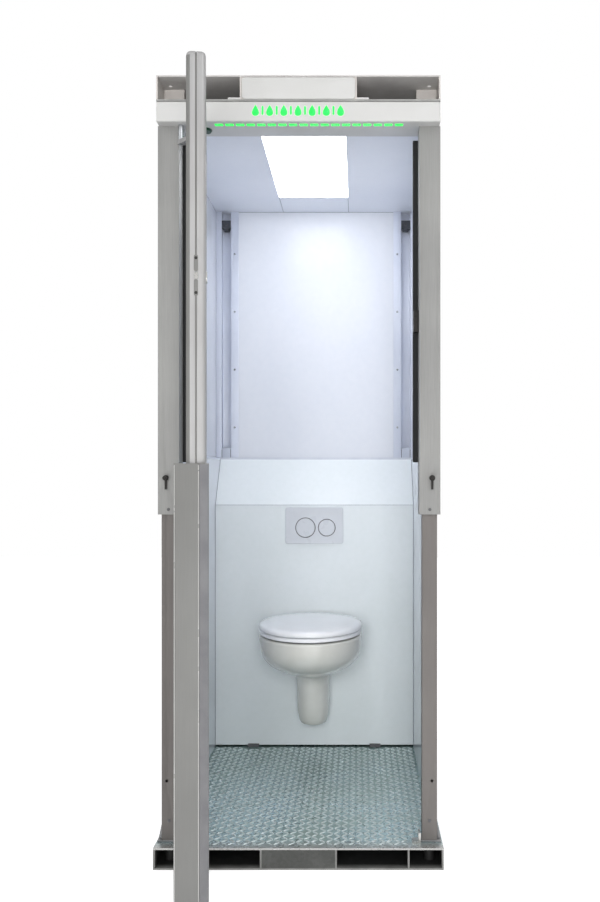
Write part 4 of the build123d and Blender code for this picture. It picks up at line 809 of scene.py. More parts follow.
def eased(node: str, surface: Surface, width: float) -> bpy.types.Object:
    """Copy of a CAD node with its sharp edges rounded, which stands for the node.

    Args:
        node: Name of the node.
        surface: Its finish.
        width: Width of the rounding in millimetres.

    Returns:
        The object.
    """
    source = frame["nodes"][node]
    work = bmesh.new()
    work.from_mesh(source.data)
    bmesh.ops.remove_doubles(work, verts=work.verts, dist=CAD_MERGE)
    bmesh.ops.dissolve_limit(work, angle_limit=radians(FLAT), verts=work.verts, edges=work.edges)
    data = bpy.data.meshes.new(f"{node}_eased")
    work.to_mesh(data)
    work.free()
    made = stand(data.name, data)
    data.materials.append(surface.value.material())
    data.shade_smooth()
    soft = made.modifiers.new("soft_edges", "BEVEL")
    soft.width, soft.segments, soft.harden_normals = width * MM, 2, True
    soft.limit_method, soft.angle_limit = "ANGLE", radians(EDGE)
    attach(made, source["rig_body"])
    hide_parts(node)
    LOG.info("%s: eased by %.1f mm, %s", node, width, surface.value.name)
    return made


class Head(Enum):
    """Outline of a screw's or a rivet's head, as shares of its radius and of its height."""

    # Out to the rim, over a low dome, then down into a straight-sided socket
    SCREW = ((1.0, 0.0), (1.0, 0.35), (0.86, 0.8), (0.5, 1.0), (0.45, 1.0), (0.45, 0.35))
    # A low dome
    RIVET = ((1.0, 0.0), (0.9, 0.5), (0.55, 0.9), (0.2, 1.0))

    def shape(self, radius: float, rise: float, axis: Triple, sides: int = 12) -> Shape:
        """The head, turned round the axis along which it looks."""
        return turned([(share * radius, height * rise) for share, height in self.value], axis, sides)


@dataclass
class PalletBase:
    """Steel pallet that the cabin stands on, with a tread plate floor.

    Attributes:
        bar_length: Length of a tread bar.
        bar_width: Width of a tread bar at its middle.
        bar_rise: Height of a tread bar.
        bar_end: Share of its half length at which a bar is cut off.
        bar_taper: Powers by which width and height fall towards the ends.
        bar_section: Share of the half width and of the height for the corners of a bar's section.
        pitch: Spacing of the tread bars.
        reach: Points of the lattice on each side of the middle.
        floor: Height of the floor.
        span: Half width and the front and rear end of the open floor.
        kept_clear: Boxes on the floor where other pieces stand, as x and y limits.
    """

    bar_length: float = 24.5
    bar_width: float = 7.0
    bar_rise: float = 2.2
    bar_end: float = 0.96
    bar_taper: Pair = (0.55, 0.35)
    bar_section: tuple[Pair, ...] = ((-1.0, 0.0), (-0.5, 1.0), (0.5, 1.0), (1.0, 0.0))
    pitch: float = 21.0
    reach: int = 40
    floor: float = 60.0
    span: Triple = (384.0, -588.0, 382.0)
    kept_clear: tuple[Four, ...] = (
        (322.0, 420.0, -572.0, -490.0),
        (-420.0, -322.0, -572.0, -490.0),
        (358.0, 420.0, -520.0, 600.0),
        (-420.0, -358.0, -520.0, 600.0),
        (-358.0, -268.0, -602.0, -548.0),
        (300.0, 356.0, -582.0, -518.0),
        (190.0, 266.0, 376.0, 420.0),
        (-266.0, -190.0, 376.0, 420.0),
    )

    def build(self) -> None:
        """Raise the tread bars: lens-shaped lines at 45 degrees that alternate over a square lattice."""
        share = np.linspace(-self.bar_end, self.bar_end, 5)[:, None]
        wide, high = np.array(self.bar_section).T
        along = share * self.bar_length / 2
        across = self.bar_width / 2 * (1.0 - share**2) ** self.bar_taper[0] * wide
        level = self.bar_rise * (1.0 - share**2) ** self.bar_taper[1] * high
        turns = []
        for parity, sign in ((0, 1.0), (1, -1.0)):
            rings = np.stack([along - sign * across, sign * along + across], axis=-1) / 2**0.5
            bar = capped(np.concatenate([rings, level[..., None]], axis=-1))
            turns.append(copies(bar, self.spots(parity)))
        # The bars take the brighter crest finish, a painted highlight.
        piece("floor_tread_bars", joined(*turns), Surface.CREST, "root", sharp=50.0)

    def spots(self, parity: int) -> Points:
        """Lattice points of one turn that lie on the open floor.

        Args:
            parity: 0 or 1, for the even or the odd points.

        Returns:
            Points in millimetres.
        """
        half, front, rear = self.span
        steps = np.arange(-self.reach, self.reach + 1)
        i, j = np.meshgrid(steps, steps, indexing="ij")
        x, y = i * self.pitch, j * self.pitch
        keep = ((i + j) % 2 == parity) & (abs(x) < half) & (y > front) & (y < rear)
        for low_x, high_x, low_y, high_y in self.kept_clear:
            keep &= ~((x > low_x) & (x < high_x) & (y > low_y) & (y < high_y))
        return at_height(np.column_stack([x[keep], y[keep]]), self.floor)

    def dress(self) -> None:
        """Give the pallet plates, webs, covers and the floor their finishes."""
        dress(Surface.TREAD, "floor_treadplate")
        dress(Surface.PALLET, "base_webs", "base_bottom_plate")
        dress(Surface.COVER, "base_centre_covers")


@dataclass
class Posts:
    """Standing posts with their feet, the sleeves and channels that slide on them, and the lock pins.

    Attributes:
        foot_screw: Place of a screw in a standing post, mirrored to the other side.
        sleeve_screw: Place of a screw in a sleeve.
        head: Radius and height of their heads.
        soft: Edge rounding of the standing posts, the sleeves, the channels and the feet.
    """

    foot_screw: Triple = (364.5, -552.0, 119.0)
    sleeve_screw: Triple = (364.5, -562.0, 990.0)
    head: Pair = (4.6, 2.2)
    soft: Four = (1.6, 2.0, 1.0, 1.2)

    def build(self) -> None:
        """Ease the folded edges and set the capped screws: domes turned round Y at mirrored places."""
        post, sleeve, channel, foot = self.soft
        eased("lower_posts", Surface.POST, post)
        eased("front_upper_posts", Surface.SLEEVE, sleeve)
        eased("rear_upper_posts", Surface.CHANNEL, channel)
        eased("post_feet", Surface.GALVANISED, foot)
        head = Head.SCREW.shape(*self.head, (0.0, -1.0, 0.0))
        for name, spot, body in (
            ("post_foot_screws", self.foot_screw, "root"),
            ("sleeve_screws", self.sleeve_screw, "upper_cabin"),
        ):
            piece(name, copies(head, mirrored(spot)), Surface.ABS_GREY, body)

    def dress(self) -> None:
        """Give locks, pads, spacers and channel screws their finishes."""
        dress(Surface.BURNISHED, "left_lock_lever", "right_lock_lever", "left_lock_pin", "right_lock_pin")
        dress(Surface.SLIDE, "lower_slide_pads", "upper_slide_pads")
        dress(Surface.GALVANISED, "rear_wall_spacers")
        dress(Surface.BUFFER, "landing_buffers")
        dress(Surface.ZINC, "flange_screws")


@dataclass
class Walls:
    """Laminate walls and ceiling with rivets, seals and the ceiling light.

    Attributes:
        rivet: Radius and height of a rivet.
        side: Distance of the upper side walls' outer face from the middle.
        columns: Places of the side walls' rivet rows along Y.
        back: Y of the upper rear wall's outer face.
        rear_columns: Places of the rear wall's rivet rows along X.
        heights: First and last rivet height, and how many there are.
        ceiling: Half width of the rear wall, Y of its inner face and Z of the ceiling.
        seams: X of the ceiling's joints, mirrored, and the Y at which they start.
        beads: Radius of the bead at the rear wall and of those in the joints.
        sunk: How far the middles of these beads lie in the corner and in the joints.
    """

    rivet: Pair = (4.2, 1.6)
    side: float = 394.0
    columns: Pair = (-486.0, 580.0)
    back: float = 562.0
    rear_columns: Triple = (-285.0, 0.0, 285.0)
    heights: tuple[float, float, int] = (1010.0, 2090.0, 10)
    ceiling: Triple = (330.0, 558.0, 2109.0)
    seams: Pair = (127.5, 347.0)
    beads: Pair = (1.2, 0.9)
    sunk: Pair = (0.3, 0.2)

    def build(self) -> None:
        """Set rows of rivets, low domes turned round the wall's normal, and seal the ceiling's joints."""
        y, z = np.meshgrid(self.columns, np.linspace(*self.heights))
        rows = []
        for sign in (-1.0, 1.0):
            spots = np.column_stack([np.full(y.size, sign * self.side), y.ravel(), z.ravel()])
            rows.append(copies(Head.RIVET.shape(*self.rivet, (sign, 0.0, 0.0), sides=10), spots))
        x, z = np.meshgrid(self.rear_columns, np.linspace(*self.heights))
        spots = np.column_stack([x.ravel(), np.full(x.size, self.back), z.ravel()])
        rows.append(copies(Head.RIVET.shape(*self.rivet, Y_AXIS, sides=10), spots))
        piece("wall_rivets", joined(*rows), Surface.STAINLESS, "upper_cabin")
        piece("ceiling_joint_beads", self.sealant(), Surface.SEALANT, "upper_cabin")

    def sealant(self) -> Shape:
        """Sealant in the joints of the ceiling: small circles carried along X at the rear wall, and along Y.

        Returns:
            Points and quads.
        """
        half, back, level = self.ceiling
        corner, joint = self.sunk
        across = np.linspace((-half, back - corner, level - corner), (half, back - corner, level - corner), 3)
        lines = [carried(round_bar(self.beads[0], sides=8), across, Y_AXIS)]
        seam, start = self.seams
        for x in (-seam, seam):
            along = np.linspace((x, start, level - joint), (x, back - 1.0, level - joint), 3)
            lines.append(carried(round_bar(self.beads[1], sides=8), along, X_AXIS))
        return joined(*lines)

    def dress(self) -> None:
        """Give walls, ceiling, light and seals their finishes."""
        dress(Surface.WALL, "lower_walls", "upper_walls")
        dress(Surface.CEILING, "ceiling_panels")
        dress(Surface.OPAL, "ceiling_light")
        dress(Surface.RUBBER, "door_seals")
        dress(Surface.SILICONE, "wall_edge_seal")


@dataclass
class CisternBox:
    """Panels that hide the cistern, what stands behind them, and the connections at the rear.

    Attributes:
        half: Half width of the box.
        fold: Y and Z of the panel's foot, of its fold and of the slope's top.
        beads: Radius of the corner beads and of the bead along the fold.
        sunk: How far the middles of these beads lie in the corners and in the fold.
        inlet: Place and radius of the water inlet's free end.
        inlet_thread: Number, spacing and height of its ridges.
        gland: Place and radius of the power inlet's gland.
        gland_thread: Number, spacing and height of its ridges.
        seat: How far the roots of ridges stand off their pipe, and how deep their ring sits in it.
    """

    half: float = 372.5
    fold: tuple[Pair, Pair, Pair] = ((404.0, 66.0), (404.0, 968.0), (541.0, 1140.0))
    beads: Pair = (0.9, 0.6)
    sunk: Pair = (0.6, 0.2)
    inlet: Four = (150.0, 577.0, 95.0, 10.5)
    inlet_thread: tuple[int, float, float] = (16, 2.2, 0.9)
    gland: Four = (-150.0, 561.5, 95.0, 11.0)
    gland_thread: tuple[int, float, float] = (6, 3.0, 1.0)
    seat: Pair = (0.05, 0.3)

    def build(self) -> None:
        """Run beads along the corners and cut threads: small circles on a bent line, and zigzag rings."""
        corner, crease = self.sunk
        line = np.array([(0.0, y - corner, z) for y, z in self.fold])
        lines = []
        for x in (-self.half + corner, self.half - corner):
            lines.append(carried(round_bar(self.beads[0], sides=10), line + (x, 0.0, 0.0), X_AXIS))
        y, z = self.fold[1]
        across = np.linspace((-self.half, y - crease, z), (self.half, y - crease, z), 3)
        lines.append(carried(round_bar(self.beads[1], sides=8), across, Y_AXIS))
        piece("cistern_corner_beads", joined(*lines), Surface.SEALANT, "root")
        piece("inlet_thread", self.thread(self.inlet, *self.inlet_thread), Surface.ZINC, "root")
        piece("gland_ribs", self.thread(self.gland, *self.gland_thread), Surface.ABS_GREY, "root")

    def thread(self, spot: Four, turns: int, pitch: float, depth: float) -> Shape:
        """Ridges round a pipe end: a zigzag of crests and roots along Y over a thin wall, turned round Y.

        Args:
            spot: Place of the middle and the radius under the ridges.
            turns: Number of ridges.
            pitch: Spacing of the ridges.
            depth: Height of a ridge.

        Returns:
            Points and quads.
        """
        x, y, z, radius = spot
        steps = np.arange(2 * turns + 1)
        place = ((steps / 2 - turns / 2) * pitch).tolist()
        crest = (radius + self.seat[0] + depth * (steps % 2)).tolist()
        inner = radius - self.seat[1]
        outline = [*zip(crest, place), (inner, place[-1]), (inner, place[0])]
        return hoop(outline, (x, y, z), Y_AXIS, sides=32)

    def dress(self) -> None:
        """Give panels, tank, frame and pipes their finishes."""
        dress(Surface.PANEL, "cistern_panel", "cistern_slope")
        dress(Surface.TANK, "cistern_tank")
        dress(Surface.GALVANISED, "support_frame")
        dress(Surface.ZINC, "bowl_studs", "water_inlet")
        dress(Surface.PIPE, "flush_pipe", "drain_pipes")
        dress(Surface.ABS_GREY, "waste_pump", "power_gland", "panel_clips")


@dataclass
class FlushPlate:
    """Flush plate with two round buttons in thin rings.

    Attributes:
        face: Y of the plate's face.
        height: Z of the buttons.
        buttons: X and radius of each button.
        ring: Outline of a ring: distance from its button's edge, and place along Y.
    """

    face: float = 394.0
    height: float = 883.0
    buttons: tuple[Pair, Pair] = ((-33.0, 35.0), (47.0, 30.0))
    ring: tuple[Pair, ...] = ((0.5, 0.5), (0.5, -0.5), (0.9, -0.9), (2.5, -0.9), (3.0, -0.4), (3.0, 0.5))

    def build(self) -> None:
        """Lay a thin ring round each button: a rounded outline turned round Y."""
        rings = []
        for x, radius in self.buttons:
            outline = [(radius + out, y) for out, y in self.ring]
            rings.append(hoop(outline, (x, self.face, self.height), Y_AXIS, sides=64))
        piece("button_rings", joined(*rings), Surface.ABS_GREY, "root")

    def dress(self) -> None:
        """Give plate and buttons their finish."""
        dress(Surface.ABS_WHITE, "flush_plate", "full_flush_button", "half_flush_button")


@dataclass
class Toilet:
    """Wall-hung bowl with its seat and lid.

    Attributes:
        back: Y of the panel that the bowl hangs on.
        skin: Height, half width, front and middle of the bowl's outer sections.
        lip: Radius of the rim's outer and inner edge.
        lip_start: Angle in radians that the rounding leaves out at its foot.
        rim: Half width, front, middle and back of the basin's mouth.
        basin: Height and share of the mouth's size for the sections of the basin.
        lid_outline: Half width, front, middle and tail of the lid.
        lid_rows: Share of the outline and height for each ring of the lid.
        lid_lugs: X of the lid's hinge eyes, and the first and last Y, height and Z of their tails.
        lid_feet: Places of two of the lid's buffers, mirrored.
        lid_foot: Height of such a buffer's edge and top.
        seat_outline: Half width, front, middle and tail of the seat.
        seat_hole: Half width, front, middle and back of its hole.
        seat_rows: Share of the way from outline to hole and height for each ring of the seat.
        seat_lugs: The same for the seat's hinge eyes as for the lid's.
        seat_feet: Places of two of the seat's buffers, mirrored.
        seat_foot: Height of such a buffer's edge and top.
        foot: Radius of a buffer at its root, its bulge, its edge and its top.
        foot_bulge: Height of the bulge.
        hinge: Y and Z of the hinge line.
        eye: Outline of a hinge eye: radius, and place along the hinge line.
        tail: Width of an eye's tail, and radius of its edges.
    """

    back: float = 404.0
    skin: tuple[Four, ...] = (
        (168.0, 33.0, 289.0, 338.0),
        (172.0, 42.5, 279.0, 330.0),
        (180.0, 48.5, 271.0, 322.0),
        (195.0, 52.3, 262.0, 316.0),
        (300.0, 58.2, 227.0, 306.0),
        (345.0, 60.6, 213.0, 298.0),
        (360.0, 63.5, 200.0, 290.0),
        (372.0, 71.0, 158.0, 268.0),
        (388.8, 89.5, 72.0, 228.0),
        (406.0, 117.0, 8.0, 190.0),
        (424.5, 142.8, -45.0, 160.0),
        (448.3, 162.1, -84.0, 136.0),
        (482.3, 173.0, -113.0, 118.0),
        (510.0, 176.2, -122.3, 112.0),
        (528.0, 177.5, -125.5, 110.0),
    )
    lip: Pair = (7.0, 6.0)
    lip_start: float = 0.3
    rim: Four = (140.0, -88.0, 110.0, 280.0)
    basin: tuple[Pair, ...] = (
        (529.0, 1.0), (522.0, 0.995), (507.0, 0.95), (492.0, 0.885), (474.0, 0.72), (455.0, 0.5),
        (440.0, 0.36), (428.0, 0.25), (416.0, 0.19), (409.0, 0.12), (407.0, 0.04),
    )
    lid_outline: Four = (179.0, -127.0, 110.0, 326.0)
    lid_rows: tuple[Pair, ...] = (
        (0.4, 555.0), (0.955, 555.0), (0.982, 555.5), (0.995, 557.2), (1.0, 560.0),
        (1.0, 565.0), (0.997, 568.2), (0.985, 571.4), (0.96, 574.2), (0.9, 576.6),
        (0.78, 578.4), (0.55, 579.5), (0.25, 579.95), (0.05, 580.0),
    )
    lid_lugs: tuple[float, Four] = (61.5, (298.0, 333.5, 7.0, 559.0))
    lid_feet: tuple[Triple, Triple] = ((-140.0, 60.0, 555.1), (-105.0, 240.0, 555.1))
    lid_foot: Pair = (1.6, 1.8)
    seat_outline: Four = (176.0, -124.0, 110.0, 318.0)
    seat_hole: Four = (112.0, -60.0, 110.0, 280.0)
    seat_rows: tuple[Pair, ...] = (
        (0.0, 543.0), (0.0, 546.0), (0.02, 549.0), (0.07, 551.4), (0.16, 552.7),
        (0.4, 553.0), (0.7, 551.8), (0.88, 549.4), (0.97, 546.6), (1.0, 543.6),
        (0.975, 540.9), (0.88, 539.8), (0.12, 539.8), (0.02, 540.6),
    )
    seat_lugs: tuple[float, Four] = (88.5, (272.0, 333.5, 4.0, 547.0))
    seat_feet: tuple[Triple, Triple] = ((-152.0, 40.0, 539.9), (-130.0, 220.0, 539.9))
    seat_foot: Pair = (4.2, 4.6)
    foot: Four = (6.5, 7.0, 6.4, 4.0)
    foot_bulge: float = 0.6
    hinge: Pair = (340.0, 556.0)
    eye: tuple[Pair, ...] = ((5.1, -7.0), (8.3, -7.0), (9.0, -6.3), (9.0, 6.3), (8.3, 7.0), (5.1, 7.0))
    tail: Pair = (13.6, 1.2)

    def outline(
        self, half: float, front: float, middle: float, end: float, round_end: bool = False
    ) -> Points:
        """Half ellipse at the front, then straight sides to a flat end, or a second half ellipse at the end.

        Args:
            half: Half width.
            front: Y of the front.
            middle: Y where the half ellipse ends.
            end: Y of the rear end.
            round_end: Whether the rear is a half ellipse.

        Returns:
            Outline of 112 points, anticlockwise from the left side.
        """
        turn = np.linspace(pi, 2 * pi, 64, endpoint=False)
        nose = np.column_stack([half * np.cos(turn), middle + (middle - front) * np.sin(turn)])
        if round_end:
            turn = np.linspace(0.0, pi, 48, endpoint=False)
            rear = np.column_stack([half * np.cos(turn), middle + (end - middle) * np.sin(turn)])
        else:
            corners = np.array([(half, middle), (half, end), (-half, end), (-half, middle)], float)
            share = np.concatenate([np.arange(12) / 12, 1 + np.arange(24) / 24, 2 + np.arange(12) / 12])
            rear = np.column_stack([np.interp(share, np.arange(4), line) for line in corners.T])
        return np.concatenate([nose, rear])

    def bowl(self) -> Shape:
        """One glazed skin: outer sections eased through their table, over a rounded rim, down to the sump.

        Returns:
            Points and quads.
        """
        table = np.array(self.skin)
        rows = len(table)
        levels = np.interp(np.linspace(0.0, rows - 1.0, 5 * rows - 4), np.arange(rows), table[:, 0])
        rings = []
        for z, section in zip(levels, smooth(table, levels)):
            rings.append(at_height(self.outline(*section, self.back), z))
        outer, inner = self.lip
        half, front, middle = table[-1, 1:]
        for turn in np.linspace(self.lip_start, pi / 2, 5):
            inset = outer * (1 - cos(turn))
            edge = self.outline(half - inset, front + inset, middle, self.back)
            rings.append(at_height(edge, levels[-1] + outer * sin(turn)))
        half, front, middle, end = self.rim
        for turn in np.linspace(0.0, pi / 2 - self.lip_start, 4):
            grow = inner * (1 - sin(turn))
            mouth = self.outline(half + grow, front - grow, middle, end + grow, round_end=True)
            rings.append(at_height(mouth, self.basin[0][0] + inner * cos(turn)))
        rings += self.drawn(self.outline(*self.rim, round_end=True), middle, [(s, z) for z, s in self.basin])
        return capped(np.array(rings))

    def drawn(self, outline: Points, middle: float, rows: Any) -> list[Points]:
        """An outline drawn towards one point of the middle line, by a share for each height."""
        heart = np.array([0.0, middle])
        return [at_height(heart + share * (outline - heart), z) for share, z in rows]

    def lugs(self, x: float, tail: Four) -> Shape:
        """Two eyes on the hinge line, rings turned round X, each with a flat tail carried along Y.

        Args:
            x: Distance of the eyes from the middle.
            tail: First and last Y of the tail, its height and its middle's Z.

        Returns:
            Points and quads.
        """
        start, end, thick, level = tail
        wide, corner = self.tail
        parts = []
        for side in (-x, x):
            parts.append(hoop(list(self.eye), (side, *self.hinge), X_AXIS, sides=28))
            run = np.linspace((side, start, level), (side, end, level), 3)
            parts.append(carried(rounded(wide, thick, corner), run, X_AXIS))
        return joined(*parts)

    def lid(self) -> Shape:
        """Crowned lid: its outline drawn towards one point, ring by ring, over a rounded edge.

        Returns:
            Points and quads.
        """
        shape = self.outline(*self.lid_outline, round_end=True)
        rings = self.drawn(shape, self.lid_outline[2], self.lid_rows)
        return joined(capped(np.array(rings)), self.lugs(*self.lid_lugs))

    def seat(self) -> Shape:
        """Ring seat: rings between the outline and the hole, up over a crowned top and back underneath.

        Returns:
            Points and quads.
        """
        outer = self.outline(*self.seat_outline, round_end=True)
        inner = self.outline(*self.seat_hole, round_end=True)
        rings = [at_height(outer + share * (inner - outer), z) for share, z in self.seat_rows]
        return joined(looped(np.array(rings)), self.lugs(*self.seat_lugs))

    def build(self) -> None:
        """Make bowl, seat, lid and the small buffers under seat and lid: low domes turned round Z."""
        bowl = piece("bowl_glazed", self.bowl(), Surface.CHINA, "root", sharp=50.0)
        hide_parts("toilet_bowl")
        seat = piece("seat_ring", self.seat(), Surface.DUROPLAST, "seat", sharp=50.0)
        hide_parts("toilet_seat")
        lid = piece("lid_crowned", self.lid(), Surface.DUROPLAST, "lid", sharp=50.0)
        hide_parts("toilet_lid")
        for name, spots, heights, body in (
            ("seat_buffers", self.seat_feet, self.seat_foot, "seat"),
            ("lid_buffers", self.lid_feet, self.lid_foot, "lid"),
        ):
            profile = list(zip(self.foot, (0.0, self.foot_bulge, *heights)))
            foot = turned(profile, (0.0, 0.0, -1.0), sides=14)
            piece(name, copies(foot, mirrored(*spots)), Surface.RUBBER, body)

    def dress(self) -> None:
        """Give the hinge posts and pins their finish."""
        dress(Surface.STAINLESS, "seat_hinge_pins")


@dataclass
class Header:
    """Beam over the doorway with end caps, lights, a sensor and a lit design of drops and bars.

    Attributes:
        half: Half length of the beam without its caps.
        cap: Thickness of an end cap, the gap before it and how much smaller it is on each side.
        middle: Y and Z of the beam's middle.
        section: Depth and height of the beam.
        corner: Radius of its edges.
        cap_screws: Distance of a cap's screws from its middle.
        cap_head: Radius and height of their heads.
        drops: X of the first lit drop, their spacing and how many there are.
        drop: Half width and half height of a drop.
        bar: Width, height and corner radius of a bar.
        raised: Height of the design's middle over the beam's middle.
        relief: Share of the size, and place along Y, for the layers of the design.
        sensor: Place of the sensor's middle.
        bezel: Half sizes and height of the rings of the sensor's frame.
    """

    half: float = 388.0
    cap: Triple = (3.0, 0.3, 0.6)
    middle: Pair = (-536.0, 2087.0)
    section: Pair = (128.0, 56.0)
    corner: float = 5.0
    cap_screws: float = 44.0
    cap_head: Pair = (4.2, 1.8)
    drops: tuple[float, float, int] = (-118.0, 39.0, 7)
    drop: Pair = (13.0, 15.0)
    bar: Triple = (5.0, 24.0, 2.4)
    raised: float = 2.0
    relief: tuple[Pair, ...] = ((1.0, 0.0), (1.0, -0.5), (0.93, -0.8))
    sensor: Triple = (-261.0, -530.0, 2059.0)
    bezel: tuple[Triple, ...] = ((13.6, 21.6, 0.2), (13.6, 21.6, -1.2), (12.4, 20.4, -1.8), (12.4, 20.4, 0.2))

    def build(self) -> None:
        """Make the beam with its caps and their screws, the lit design and the sensor's frame."""
        beam = piece("header_shell", self.shell(), Surface.POWDER, "upper_cabin")
        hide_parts("header_beam")
        y, z = self.middle
        heads = []
        for side in (-1.0, 1.0):
            x = side * (self.half + self.cap[0])
            spots = [(x, y - self.cap_screws, z), (x, y + self.cap_screws, z)]
            heads.append(copies(Head.SCREW.shape(*self.cap_head, (side, 0.0, 0.0)), spots))
        piece("header_cap_screws", joined(*heads), Surface.ZINC, "upper_cabin")
        piece("header_lit_design", self.design(), Surface.GREEN, "upper_cabin", sharp=60.0)
        piece("sensor_bezel", self.sensor_frame(), Surface.SMOKED, "upper_cabin")

    def shell(self) -> Shape:
        """Rounded section carried along X over the beam and, a little smaller, over each cap.

        Returns:
            Points and quads.
        """
        y, z = self.middle
        thick, gap, inset = self.cap
        start, end = self.half + gap, self.half + thick
        runs = ((-self.half, self.half, 0.0), (start, end, inset), (-end, -start, inset))
        parts = []
        for first, last, smaller in runs:
            outline = rounded(*self.section, self.corner) * (1.0 - 2.0 * smaller / np.array(self.section))
            parts.append(carried(outline, np.linspace((first, y, z), (last, y, z), 3), Y_AXIS))
        return joined(*parts)

    def sensor_frame(self) -> Shape:
        """Flat oval frame: ellipses of a few sizes and heights, joined in a loop.

        Returns:
            Points and quads.
        """
        angle = around(48)
        rings = []
        for half, deep, level in self.bezel:
            rings.append(at_height(np.column_stack([half * np.cos(angle), deep * np.sin(angle)]), level))
        return looped(np.array(rings) + np.array(self.sensor))

    def layered(self, flat: Points) -> Shape:
        """Low relief that looks to the front: the outline at a few places along Y, the last one smaller."""
        return capped(np.stack([np.insert(flat * share, 1, y, axis=1) for share, y in self.relief]))

    def design(self) -> Shape:
        """Drops with a half width of sin(t) sin(t/2)^1.3 at a height of cos(t), and a bar between two drops.

        Returns:
            Points and quads.
        """
        first, pitch, count = self.drops
        half, high = self.drop
        t = around(36)
        flat = np.column_stack([half * np.sin(t) * np.sin(t / 2) ** 1.3, high * np.cos(t)])
        front = self.middle[0] - self.section[0] / 2
        row = np.column_stack([first + pitch * np.arange(count), np.full(count, front)])
        spots = at_height(row, self.middle[1] + self.raised)
        bars = copies(self.layered(rounded(*self.bar)), spots[:-1] + (pitch / 2, 0.0, 0.0))
        return joined(copies(self.layered(flat), spots), bars)

    def dress(self) -> None:
        """Give lights, sensor and pivot their finishes."""
        dress(Surface.GREEN, "header_light_dashes")
        dress(Surface.SMOKED, "presence_sensor")
        dress(Surface.ZINC, "top_pivot")


@dataclass
class RoofPallet:
    """Roof pallet with two fork pockets and rounded centre covers.

    Attributes:
        cover: Width, height, corner radius, thickness and edge radius of a centre cover.
        level: Z of the covers' middle.
        front: Y of the front face, mirrored at the rear.
        tab: Width, height and edge radius of a small tab beside a cover.
        tab_run: Distance of a tab from the end of the roof, and its depth.
        tab_spot: X and Z of a tab's middle.
    """

    cover: tuple[float, ...] = (312.0, 60.0, 9.0, 3.0, 1.6)
    level: float = 2151.0
    front: float = -600.0
    tab: Triple = (34.0, 5.0, 1.2)
    tab_run: Pair = (1.0, 30.0)
    tab_spot: Pair = (177.0, 2122.6)

    def build(self) -> None:
        """Stand rounded plates at both ends and lay tabs on the deck: rounded outlines carried along Y."""
        points, faces = plate(*self.cover)
        covers = []
        for side in (1.0, -1.0):
            at = (0.0, side * (self.front + self.cover[3]), self.level)
            covers.append((placed(points, at, (side, 0.0, 0.0), Z_AXIS), faces))
        made = piece("roof_cover_plates", joined(*covers), Surface.POWDER, "upper_cabin")
        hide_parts("roof_centre_covers")
        step, deep = self.tab_run
        x, z = self.tab_spot
        tabs = []
        for side in (-x, x):
            for y in (self.front + step, -self.front - step - deep):
                run = np.linspace((side, y, z), (side, y + deep, z), 3)
                tabs.append(carried(rounded(*self.tab), run, X_AXIS))
        piece("roof_tabs", joined(*tabs), Surface.POWDER, "upper_cabin")

    def dress(self) -> None:
        """Give deck, webs and top plate their finishes."""
        dress(Surface.PALLET_PLATE, "roof_deck")
        dress(Surface.ROOF_PLATE, "roof_top_plate")
        dress(Surface.ROOF_WEB, "roof_webs")


